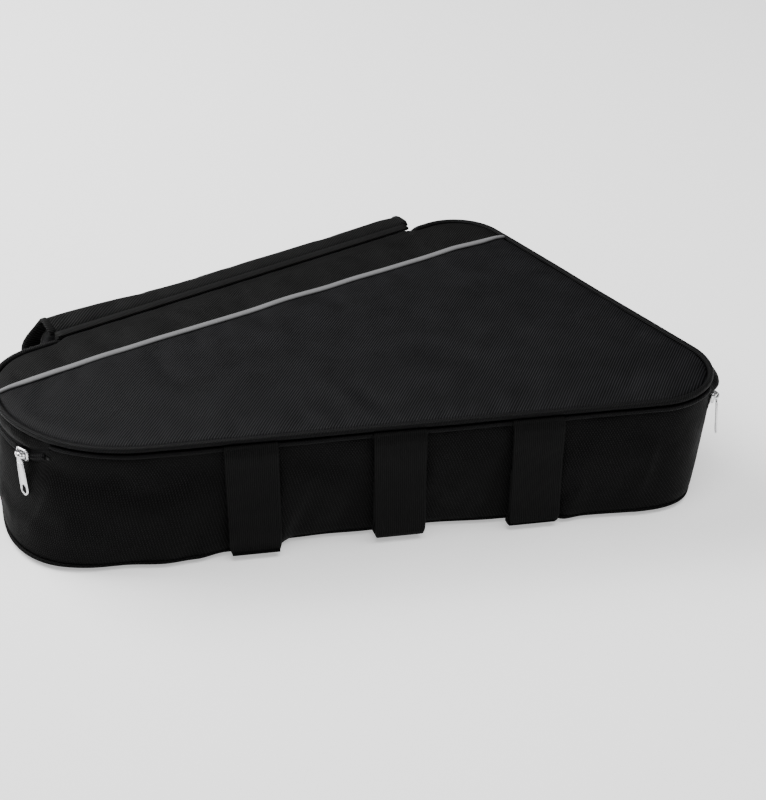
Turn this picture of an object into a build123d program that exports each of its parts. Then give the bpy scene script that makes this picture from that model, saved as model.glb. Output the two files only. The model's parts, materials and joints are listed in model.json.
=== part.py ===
from build123d import *
import os
from math import atan2, cos, degrees, hypot, radians, sin

# A zipped, padded frame bag for the main triangle of a bicycle, lying on one large face.
# Millimetres. +X runs along the front edge, +Y to the back, +Z up through the thickness.
# The origin is on the base, at the middle of the plan's sharp-cornered outline.

# ---- plan outline of the lid: a quadrilateral with rounded corners ----
LENGTH = 585.0
DEPTH = 345.0
LEFT_DEPTH = 146.0
BACK_CORNER_X = 421.0
FRONT_LEFT_R = 112.0
FRONT_RIGHT_R = 52.0
BACK_RIGHT_R = 44.0
BACK_LEFT_R = 50.0

# ---- plan outline of the base, moved in from the lid's edges (minus is outwards) ----
TUCK_FRONT = 12.0
TUCK_RIGHT = 9.0
TUCK_BACK = 0.0
TUCK_LEFT = -3.0
BASE_FRONT_LEFT_R = 78.0

# ---- heights ----
BASE_Z = 1.2
SHOULDER_Z = 76.0
FOAM_TOP_Z = 72.0
RISER_Z = 95.5
PANEL_Z = 101.0
TOTAL_Z = 104.0

# ---- layers ----
FABRIC = 1.2
LINING = 0.8
WALL_FOAM = 5.0
BOARD = 2.5
BASE_FOAM = 4.0
LID_FOAM = 3.8
EDGE_INSET = 3.6
PIPING_R = 2.5
WELT_R = 2.2
RIDGE = 2.4
RIDGE_OVERLAP = 1.5
CORD_ROUNDING = 0.8

# ---- reflective strip: a straight line across the plan, from (left, up) to (right, up) ----
STRIP_WIDTH = 6.0
STRIP_RISE = 1.4
STRIP_SHIFT_LEFT = 40.0
STRIP_LEFT_UP = 75.0
STRIP_RIGHT_UP = 335.0

# ---- zip ----
ZIP_Z = 81.0
TEETH_H = 2.6
TEETH_GAP = 1.6
TEETH_OUT = 0.8
TEETH_IN = 1.6
TAPE = 1.0
TAPE_INSET = 0.1
TAPE_TOP_Z = 87.0
ZIP_END_LEFT = 233.0
ZIP_END_RIGHT = -34.0
END_CLEARANCE = 1.0
STOP_TURN = 4.0
STOP_L = 2.4
STOP_EDGE_R = 0.4
SLIDER_LEFT = 218.0
SLIDER_RIGHT = -16.0

# ---- zip sliders: two plates, a post between them and a bridge; their pullers ----
SLIDER_HALF = 8.5
NARROW_HALF_H = 4.2
WIDE_HALF_H = 5.4
PLATE_CORNER_R = 2.6
PLATE_EDGE_R = 0.3
PLATE_T = 1.4
PLATE_OUT = 1.4
PLATE_IN = 3.6
POST_X = 4.5
POST_L = 4.0
POST_T = 0.8
BAR_R = 0.9
BAR_OUT = 5.6
BAR_HALF = 5.5
MERGE = 0.4
EYE_R = 2.2
EYE_HOLE_R = 1.25
EYE_W = 5.0
PULLER_T = 1.6
PULLER_L = 33.0
PULLER_TOP_W = 5.4
PULLER_TIP_R = 3.7
PULLER_HIDDEN = 1.0
TIP_HOLE_R = 1.5

# ---- front straps ----
STRAP_XS = [-104.0, 7.0, 112.5]
WEBBING_W = 40.0
WEBBING_T = 1.8
STRAP_TOP_Z = 90.0
STRAP_FOLD_Z = 1.5
STRAP_PROUD = 2.6
STRAP_FOLD_R = 4.0
PATCH = 1.2
PATCH_MARGIN = 2.0
PATCH_LOW_Z = 12.0
PATCH_HIGH_Z = 45.0
INNER_LEG_TOP_Z = 57.0
GAP = 0.3

# ---- top-tube wrap along the back edge ----
WRAP_START = 59.0
WRAP_LENGTH = 342.0
WRAP_OUT = 50.0
WRAP_TOP_Z = 102.5
WRAP_LOW_Z = 44.0
WRAP_R = 24.0
WRAP_PADDING = 3.0
WRAP_HINGE_D = 12.5
TONGUE_LOW_Z = 14.0
TONGUE_D = 2.7
WRAP_PATCH_RISE = 2.0
WRAP_PATCH_SHORT = 6.0
WRAP_PATCH_MARGIN = 10.0
# the gusset's section: how far out from the back wall, and how high
GUSSET = [(0, 58), (0, 66), (6, 74), (8.5, 96.8), (WRAP_HINGE_D, 96.8), (10, 72), (4, 62)]

WRAP_T = FABRIC + WRAP_PADDING + LINING
FAR = 400.0
CUT_H = 60.0


def quadrilateral(front, right, back, left):
    """The four corners of the plan, anticlockwise from the front left, each edge moved in."""
    half_x = LENGTH / 2
    half_y = DEPTH / 2
    corners = [
        (-half_x, -half_y),
        (half_x, -half_y),
        (BACK_CORNER_X - half_x, half_y),
        (-half_x, LEFT_DEPTH - half_y),
    ]
    tucks = [front, right, back, left]
    lines = []
    for i, tuck in enumerate(tucks):
        (x0, y0), (x1, y1) = corners[i], corners[(i + 1) % 4]
        size = hypot(x1 - x0, y1 - y0)
        normal = ((y1 - y0) / size, (x0 - x1) / size)
        lines.append((normal, normal[0] * x0 + normal[1] * y0 - tuck))
    moved = []
    for i in range(4):
        (a, b), p = lines[i - 1]
        (c, d), q = lines[i]
        det = a * d - b * c
        moved.append(((p * d - b * q) / det, (a * q - c * p) / det))
    return moved


def corner_arcs(corners, radii):
    """Each corner's arc centre and radius, with the directions of its two edges' normals."""
    arcs = []
    for i, radius in enumerate(radii):
        x, y = corners[i]
        before = corners[i - 1]
        after = corners[(i + 1) % 4]
        start = atan2(before[0] - x, y - before[1])
        end = atan2(x - after[0], after[1] - y)
        if end < start:
            end += radians(360)
        middle = (start + end) / 2
        reach = radius / cos((end - start) / 2)
        centre = (x - reach * cos(middle), y - reach * sin(middle))
        arcs.append((centre, radius, start, end))
    return arcs


def on_arc(arc, angle, grow):
    (x, y), radius, _, _ = arc
    return x + (radius + grow) * cos(angle), y + (radius + grow) * sin(angle)


def outline(arcs, grow, z):
    """The closed plan curve, moved outwards by grow, at height z."""
    edges = []
    for i, arc in enumerate(arcs):
        _, _, start, end = arc
        first = on_arc(arc, start, grow)
        middle = on_arc(arc, (start + end) / 2, grow)
        last = on_arc(arc, end, grow)
        following = arcs[(i + 1) % 4]
        edges.append(Edge.make_three_point_arc(first, middle, last))
        edges.append(Edge.make_line(last, on_arc(following, following[2], grow)))
    return Wire(edges).moved(Location((0, 0, z)))


LID_ARCS = corner_arcs(
    quadrilateral(0, 0, 0, 0), [FRONT_LEFT_R, FRONT_RIGHT_R, BACK_RIGHT_R, BACK_LEFT_R]
)
BASE_ARCS = corner_arcs(
    quadrilateral(TUCK_FRONT, TUCK_RIGHT, TUCK_BACK, TUCK_LEFT),
    [BASE_FRONT_LEFT_R, FRONT_RIGHT_R, BACK_RIGHT_R, BACK_LEFT_R],
)
LEFT_ARC = LID_ARCS[0]
RIGHT_ARC = LID_ARCS[1]


def slab(arcs, grow, low, high):
    face = Face(outline(arcs, grow, low))
    return extrude(face, amount=high - low, dir=(0, 0, 1))


def tray_block(grow):
    """The tray's leaning outer form, from the base up to the zip's shoulder."""
    low = Face(outline(BASE_ARCS, grow, BASE_Z))
    high = Face(outline(LID_ARCS, grow, SHOULDER_Z))
    return loft([low, high], ruled=True)


def band(outer, inner, low, high):
    """An upright ring that follows the lid's outline."""
    return slab(LID_ARCS, outer, low, high) - slab(LID_ARCS, inner, low, high)


def front_sector(left, right):
    """Everything in front of two rays, one from each front corner's centre, in degrees."""
    (left_x, left_y), _, _, _ = LEFT_ARC
    (right_x, right_y), _, _, _ = RIGHT_ARC
    points = [
        (left_x, left_y),
        (left_x + FAR * cos(radians(left)), left_y + FAR * sin(radians(left))),
        (left_x, left_y - FAR),
        (right_x, right_y - FAR),
        (right_x + FAR * cos(radians(right)), right_y + FAR * sin(radians(right))),
        (right_x, right_y),
    ]
    return extrude(make_face(Polyline(*points, close=True)), amount=TOTAL_Z)


def level(low, high):
    return Pos(0, 0, (low + high) / 2) * Box(3 * FAR, 3 * FAR, high - low)


def extruded_profile(points, plane, length):
    """A closed polygon drawn on a plane and drawn out on both sides of it."""
    face = plane * make_face(Polyline(*points, close=True))
    return extrude(face, amount=length / 2, both=True)


RISER_SECTOR = front_sector(ZIP_END_LEFT, ZIP_END_RIGHT)
ZIP_FREE_SECTOR = front_sector(ZIP_END_LEFT - END_CLEARANCE, ZIP_END_RIGHT + END_CLEARANCE)
CHAIN_FREE_SECTOR = front_sector(ZIP_END_LEFT - STOP_TURN, ZIP_END_RIGHT + STOP_TURN)


def base_layers():
    inside = tray_block(-(FABRIC + WALL_FOAM + LINING))
    board_top = BASE_Z + BOARD
    foam_top = board_top + BASE_FOAM
    return {
        "base_panel": slab(BASE_ARCS, 0, 0, BASE_Z),
        "base_board": inside & level(BASE_Z, board_top),
        "base_foam": inside & level(board_top, foam_top),
        "base_lining": inside & level(foam_top, foam_top + LINING),
    }


def wall_layer(outer, inner, top, riser_top):
    """One layer of the tray's wall, with the riser that reaches the hinge along the front."""
    ring = (tray_block(outer) - tray_block(inner)) & level(BASE_Z, top)
    shoulder = band(outer, inner, SHOULDER_Z, riser_top) & RISER_SECTOR
    if top < SHOULDER_Z:
        lower = (tray_block(outer) - tray_block(inner)) & level(top, SHOULDER_Z)
        shoulder = shoulder + (lower & RISER_SECTOR)
    return ring + shoulder


def wall_layers():
    foam_in = FABRIC + WALL_FOAM
    return {
        "wall_panel": wall_layer(0, -FABRIC, SHOULDER_Z, RISER_Z),
        "wall_foam": wall_layer(-FABRIC, -foam_in, FOAM_TOP_Z, RISER_Z - 1),
        "wall_lining": wall_layer(-foam_in, -foam_in - LINING, FOAM_TOP_Z, RISER_Z - 1),
    }


def rounded_rims(ring, radius):
    """The ring with its top and bottom faces' edges rounded."""
    faces = ring.faces().sort_by(Axis.Z)
    return fillet(list(faces[-1].edges()) + list(faces[0].edges()), radius)


def bottom_welt():
    """The sewn-in cord cover round the base's edge."""
    ring = slab(BASE_ARCS, WELT_R, 0, 2 * WELT_R)
    ring = rounded_rims(ring, WELT_R * CORD_ROUNDING)
    return ring - slab(BASE_ARCS, 0, 0, BASE_Z) - tray_block(0)


def hinge_strip():
    """The folded fabric ridge under the piping, where the lid is sewn to the tray."""
    low = STRAP_TOP_Z + RIDGE_OVERLAP
    high = RISER_Z + RIDGE_OVERLAP
    ring = rounded_rims(slab(LID_ARCS, RIDGE, low, high), RIDGE * CORD_ROUNDING)
    return (ring - slab(LID_ARCS, 0, low, high)) & RISER_SECTOR


def lid_layers():
    """Foam board, lining and the two outer panels with the reflective strip between them."""
    foam_low = PANEL_Z - LID_FOAM
    left = (-LENGTH / 2 - STRIP_SHIFT_LEFT, STRIP_LEFT_UP - DEPTH / 2)
    right = (LENGTH / 2 - STRIP_SHIFT_LEFT, STRIP_RIGHT_UP - DEPTH / 2)
    size = hypot(right[0] - left[0], right[1] - left[1])
    slope = degrees(atan2(right[1] - left[1], right[0] - left[0]))
    middle = ((left[0] + right[0]) / 2, (left[1] + right[1]) / 2)
    place = Pos(middle[0], middle[1], 0) * Rot(0, 0, slope)
    strip_band = place * Pos(0, 0, PANEL_Z) * Box(size + FAR, STRIP_WIDTH, CUT_H)
    rear_half = place * Pos(0, FAR / 2, PANEL_Z) * Box(size + FAR, FAR, CUT_H)
    panel = slab(LID_ARCS, -EDGE_INSET, PANEL_Z, PANEL_Z + FABRIC)
    raised = slab(LID_ARCS, -EDGE_INSET, PANEL_Z, PANEL_Z + FABRIC + STRIP_RISE)
    return {
        "lid_foam": slab(LID_ARCS, -EDGE_INSET, foam_low, PANEL_Z),
        "lid_lining": slab(LID_ARCS, -EDGE_INSET, foam_low - LINING, foam_low),
        "lid_front_panel": panel - strip_band - rear_half,
        "lid_rear_panel": (panel - strip_band) & rear_half,
        "reflective_strip": raised & strip_band,
    }


def lid_piping():
    path = outline(LID_ARCS, -1, TOTAL_Z - PIPING_R)
    start = path @ 0
    section = Plane(origin=start, z_dir=path % 0) * Circle(PIPING_R)
    return sweep(section, path=path)


def zip_rings():
    """Tape and coil on the tray's edge and on the lid's rim band, open along the front."""
    low_teeth = ZIP_Z - TEETH_GAP / 2
    high_teeth = ZIP_Z + TEETH_GAP / 2
    low_tape = band(-TAPE_INSET, -TAPE_INSET - TAPE, SHOULDER_Z, low_teeth - TEETH_H)
    high_tape = band(-TAPE_INSET, -TAPE_INSET - TAPE, high_teeth + TEETH_H, TAPE_TOP_Z)
    low_chain = band(TEETH_OUT, -TEETH_IN, low_teeth - TEETH_H, low_teeth)
    high_chain = band(TEETH_OUT, -TEETH_IN, high_teeth, high_teeth + TEETH_H)
    rim = band(0, -FABRIC, TAPE_TOP_Z, TOTAL_Z - 2 * PIPING_R)
    return {
        "zip_tape_lower": low_tape - ZIP_FREE_SECTOR,
        "zip_tape_upper": high_tape - ZIP_FREE_SECTOR,
        "zip_teeth_lower": low_chain - CHAIN_FREE_SECTOR,
        "zip_teeth_upper": high_chain - CHAIN_FREE_SECTOR,
        "rim_band": rim - ZIP_FREE_SECTOR,
    }


def arc_plane(arc, angle, z):
    """A plane on a front corner's arc: x along the zip, y up, z straight out of the wall."""
    turn = radians(angle)
    x, y = on_arc(arc, turn, 0)
    return Plane(origin=(x, y, z), x_dir=(-sin(turn), cos(turn), 0), z_dir=(cos(turn), sin(turn), 0))


def zip_stop(arc, angle):
    plane = arc_plane(arc, angle, ZIP_Z - TEETH_GAP / 2 - TEETH_H / 2)
    stop = Pos(0, 0, (TEETH_OUT - TEETH_IN) / 2) * Box(STOP_L, TEETH_H, TEETH_OUT + TEETH_IN)
    return plane.location * fillet(stop.edges(), STOP_EDGE_R)


def slider_body(arc, angle, mouth):
    """Two plates round the chain, joined by a thin post, with an arched bridge outside."""
    points = [
        (-SLIDER_HALF * mouth, -NARROW_HALF_H),
        (-SLIDER_HALF * mouth, NARROW_HALF_H),
        (SLIDER_HALF * mouth, WIDE_HALF_H),
        (SLIDER_HALF * mouth, -WIDE_HALF_H),
    ]
    shape = make_face(Polyline(*points, close=True))
    shape = fillet(shape.vertices(), PLATE_CORNER_R)
    plate = extrude(shape, amount=PLATE_T)
    plate = fillet(plate.edges().filter_by(GeomType.CIRCLE, reverse=True), PLATE_EDGE_R)
    post_h = PLATE_OUT + PLATE_IN
    post = Pos(POST_X * mouth, 0, post_h / 2 - PLATE_IN) * Box(POST_L, POST_T, post_h + MERGE)
    bar = Pos(0, 0, BAR_OUT) * Rot(0, 90, 0) * Cylinder(BAR_R, 2 * BAR_HALF)
    leg_h = BAR_OUT - PLATE_OUT - PLATE_T + MERGE
    bridge = bar
    for side in (-1, 1):
        leg = Pos(side * BAR_HALF, 0, BAR_OUT - leg_h / 2) * Cylinder(BAR_R, leg_h)
        bridge = bridge + leg + Pos(side * BAR_HALF, 0, BAR_OUT) * Sphere(BAR_R)
    body = Pos(0, 0, PLATE_OUT) * plate + Pos(0, 0, -PLATE_IN - PLATE_T) * plate + post + bridge
    return arc_plane(arc, angle, ZIP_Z).location * body


def puller(arc, angle):
    """A tapered tab hanging from its eye on the bridge, with a hole near the tip."""
    eye = Rot(0, 90, 0) * Cylinder(EYE_R, EYE_W)
    points = [
        (-PULLER_TOP_W / 2, -PULLER_HIDDEN),
        (PULLER_TOP_W / 2, -PULLER_HIDDEN),
        (PULLER_TIP_R, -PULLER_L + PULLER_TIP_R),
        (-PULLER_TIP_R, -PULLER_L + PULLER_TIP_R),
    ]
    tab = make_face(Polyline(*points, close=True))
    tab = tab + Pos(0, -PULLER_L + PULLER_TIP_R, 0) * Circle(PULLER_TIP_R)
    tab = tab - Pos(0, -PULLER_L + PULLER_TIP_R, 0) * Circle(TIP_HOLE_R)
    plate = extrude(tab, amount=PULLER_T / 2, both=True)
    hole = Rot(0, 90, 0) * Cylinder(EYE_HOLE_R, 2 * EYE_W)
    shape = plate + eye - hole
    return arc_plane(arc, angle, ZIP_Z).location * Pos(0, 0, BAR_OUT) * shape


def wall_y(z):
    """How far the front wall's outer face stands behind the front edge at height z."""
    return TUCK_FRONT * (SHOULDER_Z - z) / (SHOULDER_Z - BASE_Z)


def strap_profile():
    """The folded webbing's section: down in front, round the fold and part way up behind."""
    lean = TUCK_FRONT / (SHOULDER_Z - BASE_Z)
    slant_t = WEBBING_T * hypot(1, lean)
    behind = wall_y(PATCH_LOW_Z) - 2 * PATCH - GAP - slant_t / 2
    fold_y = behind + lean * (PATCH_LOW_Z - STRAP_FOLD_Z)
    top_y = behind - lean * (INNER_LEG_TOP_Z - PATCH_LOW_Z)
    path = FilletPolyline(
        (-STRAP_PROUD, STRAP_TOP_Z),
        (-STRAP_PROUD, STRAP_FOLD_Z),
        (fold_y, STRAP_FOLD_Z),
        (top_y, INNER_LEG_TOP_Z),
        radius=STRAP_FOLD_R,
    )
    web = trace(path, WEBBING_T)
    return web + Pos(-STRAP_PROUD, STRAP_TOP_Z) * Circle(WEBBING_T / 2)


def straps():
    parts = {}
    nearer = wall_y(PATCH_LOW_Z)
    further = wall_y(PATCH_HIGH_Z)
    for i, x in enumerate(STRAP_XS):
        plane = Plane(origin=(x, -DEPTH / 2, 0), x_dir=(0, 1, 0), z_dir=(1, 0, 0))
        name = f"strap_{i + 1}"
        web = extrude(plane * strap_profile(), amount=WEBBING_W / 2, both=True)
        parts[name + "_webbing"] = web
        for kind, front in (("loop", PATCH), ("hook", 2 * PATCH + GAP)):
            points = [
                (nearer - front, PATCH_LOW_Z),
                (nearer - front + PATCH, PATCH_LOW_Z),
                (further - front + PATCH, PATCH_HIGH_Z),
                (further - front, PATCH_HIGH_Z),
            ]
            parts[f"{name}_{kind}_patch"] = extruded_profile(points, plane, WEBBING_W - 2 * PATCH_MARGIN)
    return parts


def back_plane():
    """A plane across the middle of the wrap: x straight out of the back wall, y up."""
    corners = quadrilateral(0, 0, 0, 0)
    (x0, y0), (x1, y1) = corners[3], corners[2]
    size = hypot(x1 - x0, y1 - y0)
    along = ((x1 - x0) / size, (y1 - y0) / size)
    reach = WRAP_START + WRAP_LENGTH / 2
    origin = (x0 + along[0] * reach, y0 + along[1] * reach, 0)
    return Plane(origin=origin, x_dir=(-along[1], along[0], 0), z_dir=(along[0], along[1], 0))


def wrap_layer(outer, inner):
    """One layer of the flap: over the tube, down, back under it, then down along the wall."""

    def ring(inset):
        height = WRAP_TOP_Z - WRAP_LOW_Z
        shape = RectangleRounded(2 * WRAP_OUT - 2 * inset, height - 2 * inset, WRAP_R - inset)
        return Pos(0, (WRAP_TOP_Z + WRAP_LOW_Z) / 2) * shape

    tongue_face = TONGUE_D + WRAP_T
    upper = Pos(WRAP_HINGE_D + FAR / 2, WRAP_TOP_Z) * Rectangle(FAR, CUT_H)
    lower = Pos(tongue_face - inner + FAR / 2, WRAP_LOW_Z) * Rectangle(FAR, CUT_H)
    shape = (ring(outer) - ring(inner)) & (upper + lower)
    tongue_h = WRAP_LOW_Z + inner - TONGUE_LOW_Z
    tongue = Pos(tongue_face - (outer + inner) / 2, TONGUE_LOW_Z + tongue_h / 2)
    return shape + tongue * Rectangle(inner - outer, tongue_h)


def wrap():
    plane = back_plane()

    def drawn(shape, length):
        return extrude(plane * shape, amount=length / 2, both=True)

    patch_length = WRAP_LENGTH - 2 * WRAP_PATCH_MARGIN
    patch_h = WRAP_LOW_Z - TONGUE_LOW_Z - WRAP_PATCH_SHORT
    patch_z = TONGUE_LOW_Z + WRAP_PATCH_RISE + patch_h / 2
    cover_edge = FABRIC
    padding_edge = FABRIC + WRAP_PADDING
    return {
        "wrap_cover": drawn(wrap_layer(0, cover_edge), WRAP_LENGTH),
        "wrap_padding": drawn(wrap_layer(cover_edge, padding_edge), WRAP_LENGTH),
        "wrap_lining": drawn(wrap_layer(padding_edge, WRAP_T), WRAP_LENGTH),
        "wrap_hook_patch": drawn(
            Pos(TONGUE_D - PATCH / 2, patch_z) * Rectangle(PATCH, patch_h), patch_length
        ),
        "wrap_loop_patch": drawn(
            Pos(PATCH / 2, patch_z) * Rectangle(PATCH, patch_h), patch_length
        ),
        "wrap_gusset": extruded_profile(GUSSET, plane, WRAP_LENGTH),
    }


def all_parts():
    parts = {}
    parts.update(base_layers())
    parts.update(wall_layers())
    parts["bottom_welt"] = bottom_welt()
    parts["hinge_strip"] = hinge_strip()
    parts.update(lid_layers())
    parts["lid_piping"] = lid_piping()
    parts.update(zip_rings())
    stop_left = ZIP_END_LEFT - STOP_TURN / 2
    stop_right = ZIP_END_RIGHT + STOP_TURN / 2
    parts["zip_stop_left"] = zip_stop(LEFT_ARC, stop_left)
    parts["zip_stop_right"] = zip_stop(RIGHT_ARC, stop_right)
    parts["slider_left_body"] = slider_body(LEFT_ARC, SLIDER_LEFT, 1)
    parts["slider_right_body"] = slider_body(RIGHT_ARC, SLIDER_RIGHT, -1)
    parts["puller_left"] = puller(LEFT_ARC, SLIDER_LEFT)
    parts["puller_right"] = puller(RIGHT_ARC, SLIDER_RIGHT)
    parts.update(straps())
    parts.update(wrap())
    return parts


def main():
    os.makedirs("parts", exist_ok=True)
    for name, shape in all_parts().items():
        export_step(shape, f"parts/{name}.step")


if __name__ == "__main__":
    main()
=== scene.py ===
import json
import math

import bmesh
import bpy
import numpy as np
from mathutils import Matrix, Vector, geometry, noise


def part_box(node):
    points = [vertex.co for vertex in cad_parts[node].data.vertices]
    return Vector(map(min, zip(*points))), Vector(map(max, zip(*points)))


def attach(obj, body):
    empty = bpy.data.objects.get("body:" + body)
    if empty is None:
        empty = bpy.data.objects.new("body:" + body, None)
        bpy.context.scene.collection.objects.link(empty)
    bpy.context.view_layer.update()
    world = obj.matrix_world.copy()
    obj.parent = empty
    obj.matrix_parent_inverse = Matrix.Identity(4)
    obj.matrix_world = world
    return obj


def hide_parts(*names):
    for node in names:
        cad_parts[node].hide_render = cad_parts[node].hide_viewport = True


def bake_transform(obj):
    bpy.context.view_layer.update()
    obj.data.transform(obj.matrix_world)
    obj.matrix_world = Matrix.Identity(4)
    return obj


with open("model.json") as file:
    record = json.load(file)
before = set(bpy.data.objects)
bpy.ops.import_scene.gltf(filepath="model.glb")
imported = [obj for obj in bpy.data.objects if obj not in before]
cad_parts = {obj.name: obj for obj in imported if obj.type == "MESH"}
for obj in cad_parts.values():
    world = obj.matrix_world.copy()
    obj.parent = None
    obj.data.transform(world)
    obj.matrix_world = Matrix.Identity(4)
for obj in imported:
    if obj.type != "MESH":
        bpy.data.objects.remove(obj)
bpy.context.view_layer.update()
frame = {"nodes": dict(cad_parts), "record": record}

# A zipped, padded bicycle frame bag on a pale floor. Metres, in the CAD model's frame.

MM = 0.001
UP = (0.0, 0.0, 1.0)
SIDEWAYS = (1.0, 0.0, 0.0)

# ---- plan outline, the same driving sizes as the CAD model ----
LENGTH = 0.585
DEPTH = 0.345
FRONT_Y = -DEPTH / 2
LEFT_DEPTH = 0.146
BACK_CORNER = 0.421
LID_RADII = (0.112, 0.052, 0.044, 0.050)
BASE_RADII = (0.078, 0.052, 0.044, 0.050)
BASE_TUCKS = (0.012, 0.009, 0.0, -0.003)
ZIP_END_LEFT = math.radians(233)
ZIP_END_RIGHT = math.radians(-34)
ZIP_CLIMB_START = math.radians(221)

# ---- heights, read from the CAD nodes ----
SHOULDER_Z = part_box("zip_tape_lower")[0].z
RISER_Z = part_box("wall_panel")[1].z
PANEL_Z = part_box("lid_front_panel")[1].z
PIPING_R = (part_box("lid_piping")[1].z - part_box("lid_piping")[0].z) / 2
PIPING_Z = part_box("lid_piping")[1].z - PIPING_R
ZIP_Z = (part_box("zip_teeth_lower")[1].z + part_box("zip_teeth_upper")[0].z) / 2
RIM_LOW_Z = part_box("rim_band")[0].z
RIM_HIGH_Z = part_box("rim_band")[1].z

# ---- spacing of the cloth's points, and the wrap's place along the back edge ----
GRID = 5 * MM
WRAP_START = 59 * MM
WRAP_LENGTH = 342 * MM
WRAP_END = WRAP_START + WRAP_LENGTH
WRAP_EXTRA = 8 * MM


# ======================= plan outline =======================

def in_mm(pairs):
    return [(a * MM, b * MM) for a, b in pairs]


def smooth(value, low, high):
    """0 up to low, 1 from high on, and a smooth step between them."""
    t = np.clip((np.asarray(value, float) - low) / (high - low), 0, 1)
    return t * t * (3 - 2 * t)


class Outline:
    """A quadrilateral with rounded corners, anticlockwise from the start of the front-left arc."""

    def __init__(self, tucks, radii):
        half_x, half_y = LENGTH / 2, DEPTH / 2
        corners = [
            (-half_x, -half_y),
            (half_x, -half_y),
            (BACK_CORNER - half_x, half_y),
            (-half_x, LEFT_DEPTH - half_y),
        ]
        self.lines = []
        for i, tuck in enumerate(tucks):
            (x0, y0), (x1, y1) = corners[i], corners[(i + 1) % 4]
            size = math.hypot(x1 - x0, y1 - y0)
            normal = ((y1 - y0) / size, (x0 - x1) / size)
            self.lines.append((normal, normal[0] * x0 + normal[1] * y0 - tuck))
        self.radii = radii
        self.centres, self.starts, self.ends = [], [], []
        for i, radius in enumerate(radii):
            (a, b), p = self.lines[i - 1]
            (c, d), q = self.lines[i]
            det = a * d - b * c
            p, q = p - radius, q - radius
            self.centres.append(np.array([(p * d - b * q) / det, (a * q - c * p) / det]))
            start, end = math.atan2(b, a), math.atan2(d, c)
            if i == 0:
                start, end = math.pi, 1.5 * math.pi
            elif end < start:
                end += 2 * math.pi
            self.starts.append(start)
            self.ends.append(end)
        self.lengths = []
        for i in range(4):
            self.lengths.append(radii[i] * (self.ends[i] - self.starts[i]))
            gap = self.arc_point(i + 1, 0, 0) - self.arc_point(i, 1, 0)
            self.lengths.append(float(np.hypot(*gap)))
        self.knots = np.concatenate([[0], np.cumsum(self.lengths)])
        self.total = self.knots[-1]

    def arc_point(self, i, share, grow):
        i = i % 4
        angle = self.starts[i] + share * (self.ends[i] - self.starts[i])
        reach = self.radii[i] + grow
        return self.centres[i] + reach * np.array([math.cos(angle), math.sin(angle)])

    def place(self, s):
        """Which stretch a length along the outline falls in, and how far along that stretch."""
        s = s % self.total
        k = min(int(np.searchsorted(self.knots, s, side="right")) - 1, 7)
        return k, (s - self.knots[k]) / self.lengths[k]

    def at(self, k, share, grow):
        """The point and outward normal at a share of stretch k; the even stretches are arcs."""
        i = k // 2
        if k % 2 == 0:
            angle = self.starts[i] + share * (self.ends[i] - self.starts[i])
            normal = np.array([math.cos(angle), math.sin(angle)])
            return self.centres[i] + (self.radii[i] + grow) * normal, normal
        normal = np.array(self.lines[i][0])
        start = self.arc_point(i, 1, grow)
        end = self.arc_point(i + 1, 0, grow)
        return start + share * (end - start), normal

    def length_at(self, corner, angle):
        share = (angle - self.starts[corner]) / (self.ends[corner] - self.starts[corner])
        return self.knots[2 * corner] + share * self.lengths[2 * corner]

    def inside(self, xy):
        """How far each point lies inside the outline."""
        depth = np.full(len(xy), 1e9)
        for (nx, ny), reach in self.lines:
            depth = np.minimum(depth, reach - xy[:, 0] * nx - xy[:, 1] * ny)
        for i, centre in enumerate(self.centres):
            away = xy - centre
            middle = (self.starts[i] + self.ends[i]) / 2
            half = (self.ends[i] - self.starts[i]) / 2
            turn = np.arctan2(away[:, 1], away[:, 0]) - middle
            turn = (turn + np.pi) % (2 * np.pi) - np.pi
            near = np.abs(turn) <= half
            depth[near] = np.minimum(depth[near], self.radii[i] - np.hypot(*away[near].T))
        return depth


LID = Outline((0, 0, 0, 0), LID_RADII)
BASE = Outline(BASE_TUCKS, BASE_RADII)
FRONT_START = LID.length_at(0, ZIP_END_LEFT)
FRONT_END = LID.length_at(1, ZIP_END_RIGHT)


def stations(start, end, step, closed=False):
    """Evenly spaced lengths along the lid's outline, going past its start if end is over its total."""
    count = max(2, int(round((end - start) / step)))
    return np.linspace(start, end, count, endpoint=False) if closed else np.linspace(start, end, count + 1)


def level(xy, z=0.0):
    """Points in space from points in plan, at one height or one height each."""
    return np.column_stack([xy, np.broadcast_to(z, len(xy))])


def repeated(vector, count):
    return np.tile(np.array(vector, float), (count, 1))


def unit(vectors):
    return vectors / np.linalg.norm(vectors, axis=-1)[..., None]


def travelled(points):
    """How far each point of a path lies along it."""
    return np.concatenate([[0], np.cumsum(np.linalg.norm(np.diff(points, axis=0), axis=1))])


def all_round(step=GRID):
    return stations(0, LID.total, step, closed=True)


def along_lid(lengths, grow=0.0):
    points, normals = [], []
    for s in lengths:
        point, normal = LID.at(*LID.place(s), grow)
        points.append(point)
        normals.append(normal)
    return np.array(points), np.array(normals)


def along_base(lengths, grow=0.0):
    return np.array([BASE.at(*LID.place(s), grow)[0] for s in lengths])


def front_share(lengths, fade):
    """1 along the front, where the lid is sewn on, falling to 0 past the zip's ends."""
    s = np.asarray(lengths) % LID.total
    return smooth(s, FRONT_START - fade, FRONT_START) * (1 - smooth(s, FRONT_END, FRONT_END + fade))


def zip_climb(lengths):
    """How far the zip climbs towards the piping past the left slider, to its end."""
    s = np.asarray(lengths) % LID.total
    begin = LID.length_at(0, ZIP_CLIMB_START)
    return 7.0 * MM * smooth(s, begin, FRONT_START) * (s < FRONT_START + 1.5 * MM)


def ripple(points, scale, seed):
    """Smooth noise from -1 to 1 at each point, features about scale metres wide."""
    shift = Vector((seed * 7.31, seed * 3.17, seed * 5.73))
    return np.array([noise.noise(Vector(p) / scale + shift) for p in points]) * 1.6


# ======================= meshes =======================

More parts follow.
